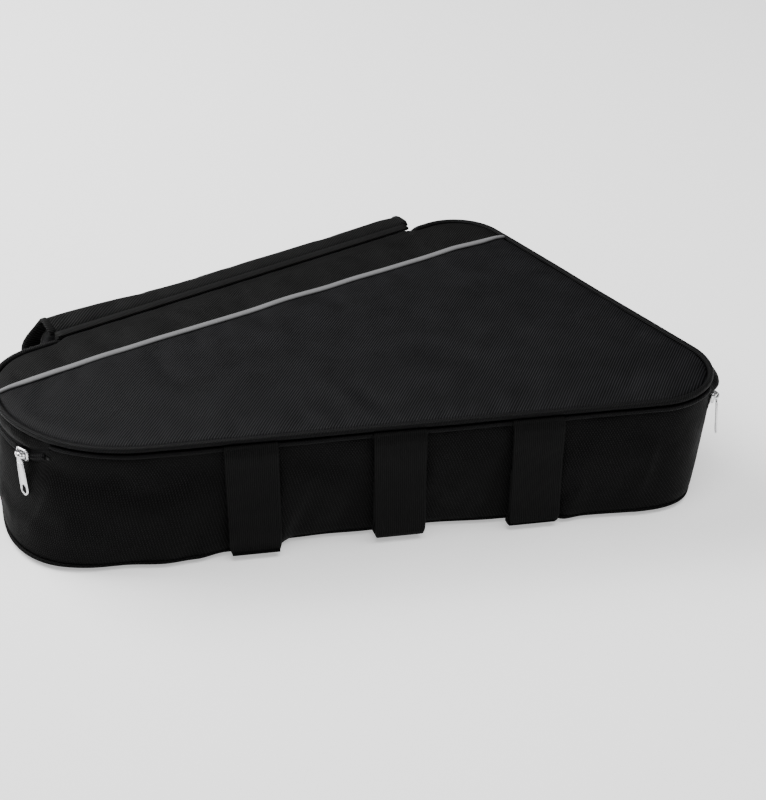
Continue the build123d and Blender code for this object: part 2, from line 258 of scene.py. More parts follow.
def placed(name, data):
    """A new object in the scene."""
    obj = bpy.data.objects.new(name, data)
    bpy.context.collection.objects.link(obj)
    return obj


def mesh_object(name, verts, faces, corners_uv=None):
    mesh = bpy.data.meshes.new(name)
    mesh.from_pydata([tuple(v) for v in verts], [], [tuple(f) for f in faces])
    if corners_uv is not None:
        layer = mesh.uv_layers.new(name="cloth")
        layer.data.foreach_set("uv", np.asarray(corners_uv, float).ravel())
    mesh.update()
    mesh.polygons.foreach_set("use_smooth", [True] * len(mesh.polygons))
    return placed(name, mesh)


def face_outwards(obj):
    work = bmesh.new()
    work.from_mesh(obj.data)
    bmesh.ops.recalc_face_normals(work, faces=work.faces)
    work.to_mesh(obj.data)
    work.free()


def grid(name, rows, across, down, closed=False):
    """A sheet of quads. rows is [row][column] of points; across and down are its cloth measures."""
    count, width = rows.shape[:2]
    faces, uvs = [], []
    spans = width if closed else width - 1
    for r in range(count - 1):
        for c in range(spans):
            d = (c + 1) % width
            faces.append((r * width + c, (r + 1) * width + c, (r + 1) * width + d, r * width + d))
            uvs += [(across[c], down[r]), (across[c], down[r + 1])]
            uvs += [(across[c + 1], down[r + 1]), (across[c + 1], down[r])]
    return mesh_object(name, rows.reshape(-1, 3), faces, uvs)


def sweep(name, path, across, up, section, closed=False):
    """A closed section carried along a path, capped at both ends if the path is open."""
    section = np.asarray(section, float)
    count, sides = len(path), len(section)
    wide, high = section[None, :, 0, None], section[None, :, 1, None]
    verts = path[:, None] + wide * across[:, None] + high * up[:, None]
    run = travelled(np.vstack([path, path[:1]]))
    round_run = travelled(np.vstack([section, section[:1]]))
    faces, uvs = [], []
    for i in range(count if closed else count - 1):
        k = (i + 1) % count
        for j in range(sides):
            m = (j + 1) % sides
            faces.append((i * sides + j, k * sides + j, k * sides + m, i * sides + m))
            uvs += [(round_run[j], run[i]), (round_run[j], run[i + 1])]
            uvs += [(round_run[j + 1], run[i + 1]), (round_run[j + 1], run[i])]
    if not closed:
        for i in (0, count - 1):
            faces.append([i * sides + j for j in range(sides)])
            uvs += [(float(a), float(b)) for a, b in section]
    obj = mesh_object(name, verts.reshape(-1, 3), faces, uvs)
    face_outwards(obj)
    return obj


def evenly(points, count):
    """Evenly spaced points on a path in a plane, and how far each lies along it."""
    run = travelled(points)
    even = np.linspace(0, run[-1], count)
    return np.column_stack([np.interp(even, run, points[:, k]) for k in range(2)]), even


def oval(half_width, half_height, sides, x=0.0, y=0.0):
    turns = [2 * math.pi * i / sides for i in range(sides)]
    return [(x + half_width * math.cos(t), y + half_height * math.sin(t)) for t in turns]


def ring_section(radius, sides=14):
    return oval(radius, radius, sides)


def band_section(width, thick, sides=4):
    """A flat band with rounded edges, centred on the path."""
    half, r = width / 2 - thick / 2, thick / 2
    points = []
    for centre, first in ((half, -90), (-half, 90)):
        for i in range(sides + 1):
            turn = math.radians(first + 180 * i / sides)
            points.append((centre + r * math.cos(turn), r * math.sin(turn)))
    return points


def plan_frame(lengths, grow, z):
    """Path, outward direction and up direction at stations of the lid's outline."""
    points, normals = along_lid(lengths, grow)
    return level(points, z), level(normals), repeated(UP, len(points))


def solidify(obj, thickness, offset=-1.0):
    thick = obj.modifiers.new("thickness", "SOLIDIFY")
    thick.thickness = thickness
    thick.offset = offset
    bake_modifiers(obj)


def subdivide(obj, levels=1):
    finer = obj.modifiers.new("finer", "SUBSURF")
    finer.levels = levels
    finer.render_levels = levels
    bake_modifiers(obj)


def bake_modifiers(obj):
    """Keeps the mesh as its modifiers leave it, with none left on the object."""
    graph = bpy.context.evaluated_depsgraph_get()
    graph.update()
    result = bpy.data.meshes.new_from_object(obj.evaluated_get(graph), depsgraph=graph)
    old = obj.data
    obj.modifiers.clear()
    obj.data = result
    bpy.data.meshes.remove(old)


def coordinates(mesh):
    flat = np.zeros(len(mesh.vertices) * 3)
    mesh.vertices.foreach_get("co", flat)
    return flat.reshape(-1, 3)


def puff(obj, pinned, pressure, swell, cap):
    """Cloth held where pinned is 1, blown out a little, with some spare length that makes folds.

    cap is the furthest it may move, as one length or as one length for each vertex.
    """
    frames, stiff, bend = 20, 15.0, 2.0
    rest = coordinates(obj.data)
    group = obj.vertex_groups.new(name="pinned")
    for weight in (1.0, 0.5):
        chosen = [int(i) for i in np.nonzero(np.isclose(pinned, weight))[0]]
        group.add(chosen, weight, "REPLACE")
    cloth = obj.modifiers.new("cloth", "CLOTH")
    for setting, value in dict(
        quality=6, mass=0.2, tension_stiffness=stiff, compression_stiffness=stiff, shear_stiffness=stiff / 2,
        bending_stiffness=bend, vertex_group_mass="pinned", pin_stiffness=20, use_pressure=True,
        uniform_pressure_force=pressure, shrink_min=-swell,
    ).items():
        setattr(cloth.settings, setting, value)
    cloth.settings.effector_weights.gravity = 0
    cloth.collision_settings.use_collision = False
    cloth.point_cache.frame_start = 1
    cloth.point_cache.frame_end = frames
    scene = bpy.context.scene
    for step in range(1, frames + 1):
        scene.frame_set(step)
    graph = bpy.context.evaluated_depsgraph_get()
    moved = coordinates(obj.evaluated_get(graph).data)
    obj.modifiers.clear()
    obj.vertex_groups.clear()
    scene.frame_set(1)
    shift = moved - rest
    shift[~np.isfinite(shift)] = 0
    size = np.linalg.norm(shift, axis=1)
    cap = np.maximum(np.asarray(cap, float), 1e-6)
    scale = cap * np.tanh(size / cap) / np.maximum(size, 1e-9)
    final = rest + shift * scale[:, None]
    obj.data.vertices.foreach_set("co", final.ravel())
    obj.data.update()


def dress(obj, material, body, slot, *nodes):
    """Gives a piece its material and its body, and hides the CAD nodes it stands for. The slot argument is
    not used.
    """
    obj.data.materials.clear()
    obj.data.materials.append(material)
    if body:
        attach(obj, body)
    if nodes:
        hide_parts(*nodes)
    return obj


# ======================= materials =======================

class Paint:
    """A node material with short calls for its nodes."""

    def __init__(self, name):
        self.material = bpy.data.materials.new(name)
        self.material.use_nodes = True
        self.tree = self.material.node_tree
        self.tree.nodes.clear()
        self.shader = self.node("ShaderNodeBsdfPrincipled")
        output = self.node("ShaderNodeOutputMaterial")
        self.link(self.shader.outputs["BSDF"], output.inputs["Surface"])

    def node(self, kind, **settings):
        made = self.tree.nodes.new(kind)
        for key, value in settings.items():
            setattr(made, key, value)
        return made

    def link(self, source, target):
        self.tree.links.new(source, target)

    def feed(self, target, value):
        if isinstance(value, (int, float, tuple)):
            target.default_value = value
        else:
            self.link(value, target)

    def math(self, operation, first, second=0.0):
        made = self.node("ShaderNodeMath", operation=operation)
        self.feed(made.inputs[0], first)
        self.feed(made.inputs[1], second)
        return made.outputs[0]

    def measures(self, source):
        """The cloth's own two measures, or the object's X and Y, in metres."""
        split = self.node("ShaderNodeSeparateXYZ")
        if source == "cloth":
            place = self.node("ShaderNodeUVMap", uv_map="cloth")
            self.link(place.outputs["UV"], split.inputs[0])
        else:
            place = self.node("ShaderNodeTexCoord")
            self.link(place.outputs["Object"], split.inputs[0])
        return split.outputs[0], split.outputs[1]

    def turned(self, u, v, angle):
        """One coordinate across lines that make an angle with the first measure."""
        across_u = self.math("MULTIPLY", u, -math.sin(angle))
        across_v = self.math("MULTIPLY", v, math.cos(angle))
        return self.math("ADD", across_u, across_v)

    def wave(self, coordinate, pitch):
        """0 to 1 and back over each pitch."""
        turns = self.math("MULTIPLY", coordinate, 2 * math.pi / pitch)
        value = self.math("SINE", turns)
        value = self.math("MULTIPLY", value, 0.5)
        return self.math("ADD", value, 0.5)

    def clouds(self, scale, detail=3.0, rough=0.55):
        place = self.node("ShaderNodeTexCoord")
        made = self.node("ShaderNodeTexNoise")
        self.link(place.outputs["Object"], made.inputs["Vector"])
        made.inputs["Scale"].default_value = scale
        made.inputs["Detail"].default_value = detail
        made.inputs["Roughness"].default_value = rough
        return made.outputs["Fac"]

    def mix(self, share, first, second):
        made = self.node("ShaderNodeMix", data_type="RGBA")
        self.feed(made.inputs[0], share)
        made.inputs[6].default_value = (*first, 1)
        made.inputs[7].default_value = (*second, 1)
        return made.outputs[2]

    def range(self, value, low, high):
        made = self.node("ShaderNodeMapRange")
        self.feed(made.inputs["Value"], value)
        made.inputs["To Min"].default_value = low
        made.inputs["To Max"].default_value = high
        return made.outputs["Result"]

    def bump(self, height, distance, strength=1.0):
        made = self.node("ShaderNodeBump")
        made.inputs["Strength"].default_value = strength
        made.inputs["Distance"].default_value = distance
        self.link(height, made.inputs["Height"])
        self.link(made.outputs["Normal"], self.shader.inputs["Normal"])

    def finish(self, colour, roughness, sheen=0.0, sheen_roughness=0.5, specular=0.5, metallic=0.0):
        self.feed(self.shader.inputs["Base Color"], colour)
        self.feed(self.shader.inputs["Roughness"], roughness)
        self.shader.inputs["Sheen Weight"].default_value = sheen
        self.shader.inputs["Sheen Roughness"].default_value = sheen_roughness
        self.shader.inputs["Specular IOR Level"].default_value = specular
        self.shader.inputs["Metallic"].default_value = metallic
        return self.material


def grey(value, blue=0.0):
    """A grey, with a little more blue."""
    return value, value, value + blue


def twill(name, source, degrees, pitch, dark, light, crossing=0.62, specular=0.07):
    """Diagonal ribs of short crossing threads, with soft mottling; the rib crests are painted lighter and the
    grooves darker, a painted highlight and shade of the twill's sheen.
    """
    paint = Paint(name)
    angle = math.radians(degrees)
    u, v = paint.measures(source)
    across = paint.turned(u, v, angle)
    rib = paint.math("POWER", paint.wave(across, pitch), 1.5)
    along = paint.turned(u, v, angle + math.radians(62))
    thread = paint.wave(along, pitch * crossing)
    if crossing < 1:
        thread = paint.range(thread, 1.3 - crossing, 1.0)
    weave = paint.math("MULTIPLY", rib, thread)
    cloud = paint.clouds(38.0)
    fine = paint.clouds(900.0, detail=1.0)
    tone = paint.math("MULTIPLY", weave, paint.range(cloud, 0.35, 1.45))
    tone = paint.math("MULTIPLY", tone, paint.range(fine, 0.8, 1.2))
    # painted highlight and shade: the rib crests take the light colour and the grooves the dark one
    colour = paint.mix(tone, dark, light)
    height = paint.math("ADD", weave, paint.math("MULTIPLY", fine, 0.25))
    paint.bump(height, 0.35 * MM)
    return paint.finish(colour, paint.range(cloud, 0.5, 0.7), specular=specular)


def webbing_cloth(name, pitch, dark, light):
    """Fine ribs along the strap, crossed by tighter weft threads."""
    paint = Paint(name)
    u, v = paint.measures("cloth")
    rib = paint.wave(u, pitch)
    weft = paint.wave(v, pitch * 0.45)
    weave = paint.math("MULTIPLY", rib, paint.range(weft, 0.7, 1.0))
    cloud = paint.clouds(60.0)
    tone = paint.math("MULTIPLY", weave, paint.range(cloud, 0.5, 1.2))
    colour = paint.mix(tone, dark, light)
    paint.bump(weave, 0.3 * MM)
    return paint.finish(colour, paint.range(cloud, 0.55, 0.8), specular=0.06)


def plain_weave(name, pitch, dark, light, source="object", specular=0.35):
    """Thin lining cloth or tape."""
    paint = Paint(name)
    u, v = paint.measures(source)
    weave = paint.math("MULTIPLY", paint.wave(u, pitch), paint.wave(v, pitch))
    cloud = paint.clouds(45.0)
    tone = paint.math("MULTIPLY", paint.range(weave, 0.6, 1.0), paint.range(cloud, 0.5, 1.1))
    paint.bump(weave, 0.15 * MM)
    return paint.finish(paint.mix(tone, dark, light), 0.7, specular=specular)


def pile(name, scale, dark, light, depth):
    """Hook tape or loop tape, or the grain of cut foam."""
    paint = Paint(name)
    place = paint.node("ShaderNodeTexCoord")
    cells = paint.node("ShaderNodeTexVoronoi")
    paint.link(place.outputs["Object"], cells.inputs["Vector"])
    cells.inputs["Scale"].default_value = scale
    paint.bump(cells.outputs["Distance"], depth)
    return paint.finish(paint.mix(cells.outputs["Distance"], light, dark), 0.85, 0.1, 0.6, 0.3)


def reflective_cloth(name):
    """Grey glass-bead piping: a fine sparkle, slightly dirty."""
    paint = Paint(name)
    bead = paint.clouds(2600.0, detail=0.0)
    cloud = paint.clouds(70.0)
    tone = paint.math("MULTIPLY", paint.range(bead, 0.7, 1.15), paint.range(cloud, 0.7, 1.1))
    paint.bump(bead, 0.08 * MM)
    return paint.finish(paint.mix(tone, grey(0.05, 0.002), grey(0.17, 0.005)), 0.5, 0.0, 0.4, 0.3)


def coil_plastic(name):
    paint = Paint(name)
    cloud = paint.clouds(300.0)
    paint.bump(cloud, 0.05 * MM)
    colour = paint.mix(cloud, grey(0.0025, 0.0005), grey(0.007, 0.0005))
    return paint.finish(colour, 0.45, specular=0.2)


def plated_metal(name, dark, light):
    """Plated casting with faint waves and scuffs."""
    paint = Paint(name)
    cloud = paint.clouds(220.0)
    scuff = paint.clouds(1500.0, detail=4.0)
    paint.bump(cloud, 0.12 * MM, 0.5)
    colour = paint.mix(scuff, dark, light)
    return paint.finish(colour, paint.range(scuff, 0.16, 0.34), metallic=1.0)


TWILL_PITCH = 1.9 * MM
LID_RIB_DEGREES = 60.6
CLOTH_LID = twill("twill_lid", "object", LID_RIB_DEGREES, TWILL_PITCH, grey(0.0003), grey(0.0165, 0.002))
# painted shade: the rear lid panel gets the lid's twill with a darker light colour, standing in for the
# lesser light over the back of the lid
CLOTH_REAR_PAINTED_SHADE = twill("twill_rear_painted_shade", "object", LID_RIB_DEGREES, TWILL_PITCH, grey(0.0005), grey(0.0115))
CLOTH_WALL = twill("twill_wall", "cloth", 58, TWILL_PITCH, grey(0.0025), grey(0.0135), 1.0, 0.03)
CLOTH_WRAP = twill("twill_wrap", "cloth", 35.3, TWILL_PITCH, grey(0.0005), grey(0.0165))
CLOTH_CORD = twill("twill_cord", "cloth", 45, 1.5 * MM, grey(0.0003), grey(0.0050, 0.0006), specular=0.10)
WEBBING = webbing_cloth("ribbed_webbing", 1.5 * MM, grey(0.0005), grey(0.0085))
LINING = plain_weave("lining_cloth", 0.9 * MM, grey(0.01, 0.001), grey(0.045, 0.003))
ZIP_TAPE = plain_weave("zip_tape_cloth", 0.7 * MM, grey(0.0015), grey(0.007, 0.0005), "cloth", 0.06)
HOOKS = pile("hook_tape_cloth", 1400.0, grey(0.004), grey(0.03), 0.5 * MM)
LOOPS = pile("loop_tape_cloth", 900.0, grey(0.006), grey(0.04), 0.3 * MM)
FOAM = pile("foam_grain", 1800.0, grey(0.012), grey(0.04), 0.1 * MM)
REFLECTIVE = reflective_cloth("reflective_cloth")
COIL = coil_plastic("zip_coil_nylon")
METAL = plated_metal("nickel_plate", grey(0.50, 0.01), grey(0.80, 0.01))
# painted shade: the plated metal made near black for the zip's stops, which sit in shade below the piping
SHADED_METAL = plated_metal("metal_painted_shade", grey(0.003), grey(0.010))


# ======================= lid =======================

CROWN = 5.5 * MM
PANEL_EDGE = -4.4 * MM
SKIRT_OUT = 1.5 * MM
SKIRT_DROP = 3.4 * MM
WRAP_REACH = 6.4 * MM    # how much further out the cloth ends beside the wrap
STRIP_CLIMB = 0.260      # over the lid's whole length
STRIP_LEFT_Y = 0.075     # from the front edge, where the strip is STRIP_LEFT_RUN left of the middle
STRIP_LEFT_RUN = 0.3325
STRIP_SLOPE = math.atan2(STRIP_CLIMB, LENGTH)
STRIP_POINT = Vector((0.0, FRONT_Y + STRIP_LEFT_Y + STRIP_LEFT_RUN * math.tan(STRIP_SLOPE)))
STRIP_DIR = Vector((math.cos(STRIP_SLOPE), math.sin(STRIP_SLOPE)))
STRIP_HALF = 3.0 * MM
# soft creases of the lid's cloth: middle x and y, direction in degrees, half length, half width, height
CREASES = [
    (-0.026, -0.133, -60, 0.045, 0.008, 0.0012),
    (0.002, -0.150, -52, 0.050, 0.011, -0.0010),
    (-0.120, -0.135, -38, 0.050, 0.014, 0.0008),
    (0.120, -0.045, -40, 0.060, 0.016, 0.0009),
    (-0.060, -0.050, 20, 0.060, 0.015, -0.0008),
]


def creases(xy):
    """How far the soft creases lift or lower the lid's cloth."""
    total = np.zeros(len(xy))
    for x, y, turn, reach, width, height in CREASES:
        ahead = np.array([math.cos(math.radians(turn)), math.sin(math.radians(turn))])
        away = xy - np.array([x, y])
        along, across = away @ ahead, away[:, 1] * ahead[0] - away[:, 0] * ahead[1]
        total += height * np.exp(-(along / reach) ** 2 - (across / width) ** 2)
    return total


def lid_height(xy):
    """The padded lid: lowest beside the piping and highest over its middle."""
    depth = LID.inside(xy)
    rise = (CROWN - 1.2 * MM) * smooth(depth, 0.0, 0.10)
    shoulder = 2.5 * MM + 1.0 * MM * smooth(depth, 3 * MM, 14 * MM)
    points = level(xy)
    waves = 1.0 * MM * ripple(points, 0.09, 3) + 0.5 * MM * ripple(points, 0.035, 5) + creases(xy)
    return PANEL_Z - 2.2 * MM + rise + shoulder + waves * smooth(depth, 4 * MM, 30 * MM)


def strip_side(xy):
    """How far each point lies behind the reflective strip's centre line."""
    away = xy - np.array(STRIP_POINT)
    return away[:, 1] * STRIP_DIR.x - away[:, 0] * STRIP_DIR.y


def strip_ends():
    """Where the strip's centre line meets the lid's edge, from left to right."""
    reach = np.linspace(-0.4, 0.4, 1601)
    xy = np.array(STRIP_POINT) + reach[:, None] * np.array(STRIP_DIR)
    kept = xy[LID.inside(xy) > -PANEL_EDGE]
    return kept[0], kept[-1]


def within(boundary, xy):
    """How far each point lies inside a closed boundary of points; negative outside."""
    start, end = boundary, np.roll(boundary, -1, axis=0)
    crossings = np.zeros(len(xy), int)
    nearest = np.full(len(xy), 1e9)
    for (x0, y0), (x1, y1) in zip(start, end):
        if y0 != y1:
            spans = (y0 > xy[:, 1]) != (y1 > xy[:, 1])
            crossings += spans & (xy[:, 0] < x0 + (xy[:, 1] - y0) * (x1 - x0) / (y1 - y0))
        step = np.array([x1 - x0, y1 - y0])
        share = np.clip((xy - (x0, y0)) @ step / max(step @ step, 1e-12), 0, 1)
        gap = xy - (x0, y0) - share[:, None] * step
        nearest = np.minimum(nearest, np.hypot(*gap.T))
    return np.where(crossings % 2 == 1, nearest, -nearest)


def delaunay(verts, edges, tolerance):
    """Triangles that keep the given edges: the points, the faces and the faces' centres."""
    result = geometry.delaunay_2d_cdt(verts, edges, [], 0, tolerance)
    points = np.array([tuple(p) for p in result[0]])
    faces = [list(f) for f in result[2]]
    return points, faces, np.array([points[f].mean(0) for f in faces])


def plan_uvs(points, faces):
    return np.array([points[i] for face in faces for i in face])


def triangulated(boundary, lines, spacing):
    """Even triangles inside a closed boundary, with edges along the given lines."""
    boundary = np.asarray(boundary)
    verts = [Vector(p) for p in boundary]
    edges = [(i, (i + 1) % len(boundary)) for i in range(len(boundary))]
    for line in lines:
        first = len(verts)
        verts += [Vector(p) for p in line]
        edges += [(first + i, first + i + 1) for i in range(len(line) - 1)]
    low, high = boundary.min(0), boundary.max(0)
    inner = []
    for r, y in enumerate(np.arange(low[1], high[1], spacing * 0.866)):
        for x in np.arange(low[0] + (r % 2) * spacing / 2, high[0], spacing):
            inner.append((x, y))
    inner = np.array(inner)
    keep = within(boundary, inner) > spacing * 0.6
    if lines:
        keep &= np.abs(np.abs(strip_side(inner)) - STRIP_HALF) > spacing * 0.45
    verts += [Vector(p) for p in inner[keep]]
    points, faces, centres = delaunay(verts, edges, 1e-7)
    kept = []
    for face, depth in zip(faces, within(boundary, centres)):
        (ax, ay), (bx, by), (cx, cy) = points[face[:3]]
        area = ((bx - ax) * (cy - ay) - (cx - ax) * (by - ay)) / 2
        if depth > 0 and abs(area) > 1e-8:
            kept.append(face if area > 0 else face[::-1])
    return points, kept


def flat_piece(name, boundary, height, thickness, spacing):
    """A layer that fills a boundary, its upper face at height(xy), thick enough to show an edge."""
    points, faces = triangulated(boundary, [], spacing)
    piece = mesh_object(name, level(points, height(points)), faces, plan_uvs(points, faces))
    solidify(piece, thickness)
    return piece


def beside_wrap(lengths):
    """1 along the part of the back edge that the wrap stands behind, fading at its ends."""
    corner, _ = LID.at(5, 1.0, 0.0)
    s = LID.knots[6] - np.asarray(lengths) % LID.total + float((corner - BACK_LEFT) @ BACK_ALONG)
    past_left = smooth(s, WRAP_START - 8 * MM, WRAP_START + 4 * MM)
    return past_left * (1 - smooth(s, WRAP_END - 2 * MM, WRAP_END + 10 * MM))


def build_lid_panels():
    """The two outer panels, from one cloth that is split along the strip, with a skirt round its edge."""
    lengths = all_round()
    boundary, normals = along_lid(lengths, PANEL_EDGE)
    boundary = boundary + normals * (WRAP_REACH * beside_wrap(lengths))[:, None]
    left, right = strip_ends()
    lines = []
    for side in (-1, 1):
        shift = np.array([-STRIP_DIR.y, STRIP_DIR.x]) * side * STRIP_HALF
        count = int(np.hypot(*(right - left)) / GRID)
        line = np.linspace(left, right, count) + shift
        lines.append(line[LID.inside(line) > -PANEL_EDGE + 1.0 * MM])
    points, faces = triangulated(boundary, lines, GRID)
    ring = [int(np.argmin(np.hypot(*(points - p).T))) for p in boundary]
    first, count = len(points), len(ring)
    for i in range(count):
        j = (i + 1) % count
        faces.append([ring[j], ring[i], first + i, first + j])
    skirt = boundary + normals * SKIRT_OUT
    verts = np.vstack([level(points, lid_height(points)), level(skirt, PANEL_Z - SKIRT_DROP)])
    points = np.vstack([points, skirt])
    side = strip_side(points)
    whole = mesh_object("lid_cloth", verts, faces)
    depth = LID.inside(points)
    held = ((within(boundary, points) < 0.5 * MM) | (depth < -PANEL_EDGE + 0.5 * MM)
            | (np.abs(np.abs(side) - STRIP_HALF) < 0.3 * MM)).astype(float)
    puff(whole, held, 1.2, 0.004, 1.6 * MM)
    moved = coordinates(whole.data)
    moved[:, 2] = np.maximum(moved[:, 2], verts[:, 2] - 0.3 * MM)
    bpy.data.objects.remove(whole)
    # the rear panel takes the darker copy of the twill, which is painted shade
    for name, sign, material in (("front", 1, CLOTH_LID), ("rear", -1, CLOTH_REAR_PAINTED_SHADE)):
        chosen = [f for f in faces if sign * side[f].mean() < STRIP_HALF * 0.3]
        used = sorted({i for f in chosen for i in f})
        index = {old: new for new, old in enumerate(used)}
        renumbered = [[index[i] for i in f] for f in chosen]
        panel = mesh_object(f"lid_{name}_cloth", moved[used], renumbered, plan_uvs(points, chosen))
        subdivide(panel)
        dress(panel, material, "lid", "twill_fabric", f"lid_{name}_panel")


def build_strip():
    """Grey piping between the panels, raised, thinning at both ends and dipping over the lid's edge."""
    count = 160
    share = np.linspace(0, 1, count)
    left, right = strip_ends()
    reach_left = left - np.array(STRIP_DIR) * 5.0 * MM
    reach_right = right + np.array(STRIP_DIR) * 2.0 * MM
    xy = reach_left + share[:, None] * (reach_right - reach_left)
    clear = LID.inside(xy)
    z = lid_height(xy) + 0.9 * MM - 1.2 * MM * (1 - smooth(clear, -1.0 * MM, 6 * MM))
    path = level(xy, z)
    across = repeated((-STRIP_DIR.y, STRIP_DIR.x, 0.0), count)
    up = repeated(UP, count)
    width = 1 - 0.45 * smooth(share, 0.94, 1.0) - 0.45 * (1 - smooth(share, 0.0, 0.07))
    across = across * width[:, None]
    strip = sweep("reflective_strip_cloth", path, across, up, oval(3.0 * MM, 1.5 * MM, 16))
    dress(strip, REFLECTIVE, "lid", "reflective_piping", "reflective_strip")


def build_edge_piping():
    """The round piping along the lid's edge, sunk and thinner beside the wrap."""
    lengths = all_round(3 * MM)
    path, out, up = plan_frame(lengths, -1 * MM, PIPING_Z)
    tucked = beside_wrap(lengths)
    path[:, 2] += 0.25 * MM * ripple(path, 0.06, 11) - 2.2 * MM * tucked
    size = (1 - 0.4 * tucked)[:, None]
    cord = sweep("lid_piping_cloth", path, out * size, up * size, ring_section(PIPING_R), closed=True)
    dress(cord, CLOTH_CORD, "lid", "edge_piping", "lid_piping")


def build_lid_layers():
    """Foam board under the outer cloth, and the lining that covers it inside."""
    boundary, _ = along_lid(all_round(), -6.0 * MM)
    foam = flat_piece("lid_foam_board", boundary, lambda xy: lid_height(xy) - 1.2 * MM, 1.2 * MM, 12 * MM)
    dress(foam, FOAM, "lid", "foam", "lid_foam")

    def inner(xy):
        inside = LID.inside(xy)
        drop = 2.6 * MM + 1.6 * MM * (1 - smooth(inside, 4 * MM, 9 * MM))
        return lid_height(xy) - drop + 0.2 * MM * ripple(level(xy), 0.06, 47) * smooth(inside, 0.01, 0.04)

    boundary, _ = along_lid(all_round(), -1.5 * MM)
    lining = flat_piece("lid_lining_cloth", boundary, inner, 0.5 * MM, 8 * MM)
    dress(lining, LINING, "lid", "lining_fabric", "lid_lining")


def build_rim():
    """The upright band above the zip: it bellies out a little between its two seams."""
    lengths = stations(FRONT_END + 1 * MM, FRONT_START + LID.total - 1 * MM, GRID)
    points, normals = along_lid(lengths)
    share = np.linspace(0, 1, 6)
    top = RIM_HIGH_Z + 0.8 * MM
    foot = RIM_LOW_Z - 0.6 * MM + zip_climb(lengths)
    from_right, from_left = lengths - lengths[0], lengths[-1] - lengths
    ends = smooth(from_left, 0.0, 25 * MM) * smooth(from_right, 0.0, 12 * MM)
    fuller_right, fuller_left = 1 - smooth(from_right, 0.02, 0.09), 1 - smooth(from_left, 0.0, 0.12)
    belly = 1.0 * MM + 6.5 * MM * fuller_right + 2.0 * MM * fuller_left
    rows = []
    for t in share:
        flat = level(points, top + (foot - top) * t)
        swell = (belly + 0.5 * MM * ripple(flat, 0.05, 17)) * math.sin(math.pi * t) * ends
        rows.append(flat + level(normals * swell[:, None]))
    rows = np.array(rows)
    down = (RIM_HIGH_Z - RIM_LOW_Z) * share
    rim = grid("rim_band_cloth", rows, lengths, down)
    held = np.zeros(rows.shape[:2])
    held[0] = held[-1] = 1
    held[:, 0] = held[:, -1] = 1
    puff(rim, held.ravel(), 1.5, 0.008, 1.0 * MM)
    solidify(rim, 1.0 * MM)
    subdivide(rim)
    dress(rim, CLOTH_WALL, "lid", "twill_fabric", "rim_band")


# ======================= tray =======================

BOTTOM_R = 9 * MM
WALL_ROWS = 15
STRAP_BOXES = [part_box(f"strap_{i}_webbing") for i in (1, 2, 3)]
STRAP_X = [(low.x + high.x) / 2 for low, high in STRAP_BOXES]
WEBBING_W = STRAP_BOXES[0][1].x - STRAP_BOXES[0][0].x


def wall_freedom(lengths):
    """1 where the wall may belly out, falling to 0 behind the straps and the wrap."""
    free = []
    for s in lengths:
        k, share = LID.place(s)
        value = 1.0
        if k == 1:
            x = LID.at(k, share, 0)[0][0]
            for middle in STRAP_X:
                value = min(value, float(smooth(abs(x - middle), 18 * MM, 34 * MM)))
        elif k == 0:
            value = 1 - 0.75 * math.exp(-(((share - 0.42) / 0.2) ** 2))
        elif k == 2:
            value = 0.05
        elif k == 5:
            value = 0.0
        elif k in (4, 6):
            value = float(smooth(share if k == 6 else 1 - share, 0.0, 0.5))
        free.append(value)
    return np.array(free)


def through(points, value):
    """A smooth curve that is level at each of the (place, height) points."""
    height = points[0][1]
    for (x0, y0), (x1, y1) in zip(points, points[1:]):
        height = height + (y1 - y0) * smooth(value, x0, x1)
    return height


# how far the wall's foot stands out, in mm: at each x along the front, and at shares of the right corner
FRONT_FOOT = (
    (-0.205, 17.5), (-0.172, 21.0), (-0.150, 19.0), (-0.126, 13.5), (-0.088, 12.0), (-0.076, 4.0),
    (-0.048, 3.0), (-0.020, 3.8), (0.030, 1.5), (0.085, 5.0), (0.126, 8.0), (0.137, 14.0), (0.153, 12.0),
    (0.205, 14.0),
)
CORNER_FOOT = ((0.0, 14.0), (0.3, 17.5), (0.58, 11.0), (1.0, 5.0))


def base_extra(lengths):
    """How far the wall's foot stands out past the CAD model's tuck, at the front and its two corners."""
    extra = []
    for s in lengths:
        k, share = LID.place(s)
        if k == 0:
            out = 17.5 * smooth(share, 0.05, 0.78)
        elif k == 1:
            out = through(FRONT_FOOT, BASE.at(k, share, 0)[0][0])
        elif k == 2:
            out = through(CORNER_FOOT, share)
        elif k == 3:
            out = 5.0 * (1 - smooth(share, 0.0, 0.5))
        else:
            out = 0.0
        extra.append(float(out) * MM)
    return np.array(extra)


def wall_rows(lengths, inward, heights_for, count=WALL_ROWS, extra_share=1.0, belly=2.0 * MM):
    """Rows of points down the tray's wall, at an inset, rounding in at the floor."""
    lid_points, normals = along_lid(lengths, -inward)
    base_points = along_base(lengths, -inward) + normals * (base_extra(lengths) * extra_share)[:, None]
    rows = []
    free = wall_freedom(lengths)
    for row in range(count):
        z, tuck = heights_for(row)
        climb = np.clip(z / SHOULDER_Z, 0, 1)
        foot = base_points + (lid_points - base_points) * climb[:, None]
        loose = smooth(z, 0.004, 0.02) * (1 - smooth(z, 0.06, 0.076))
        swell = belly * np.sin(np.pi * climb) + 1.3 * MM * ripple(level(foot, z), 0.07, 21) * loose
        out = normals * (swell * free - tuck)[:, None]
        rows.append(level(foot + out, z))
    return np.array(rows)


def wall_grid(name, rows, lengths):
    """The wall's rows as a closed sheet, its cloth measured down one column."""
    across = np.append(lengths, LID.total)
    return grid(name, rows, across, travelled(rows[:, len(lengths) // 3]), closed=True)


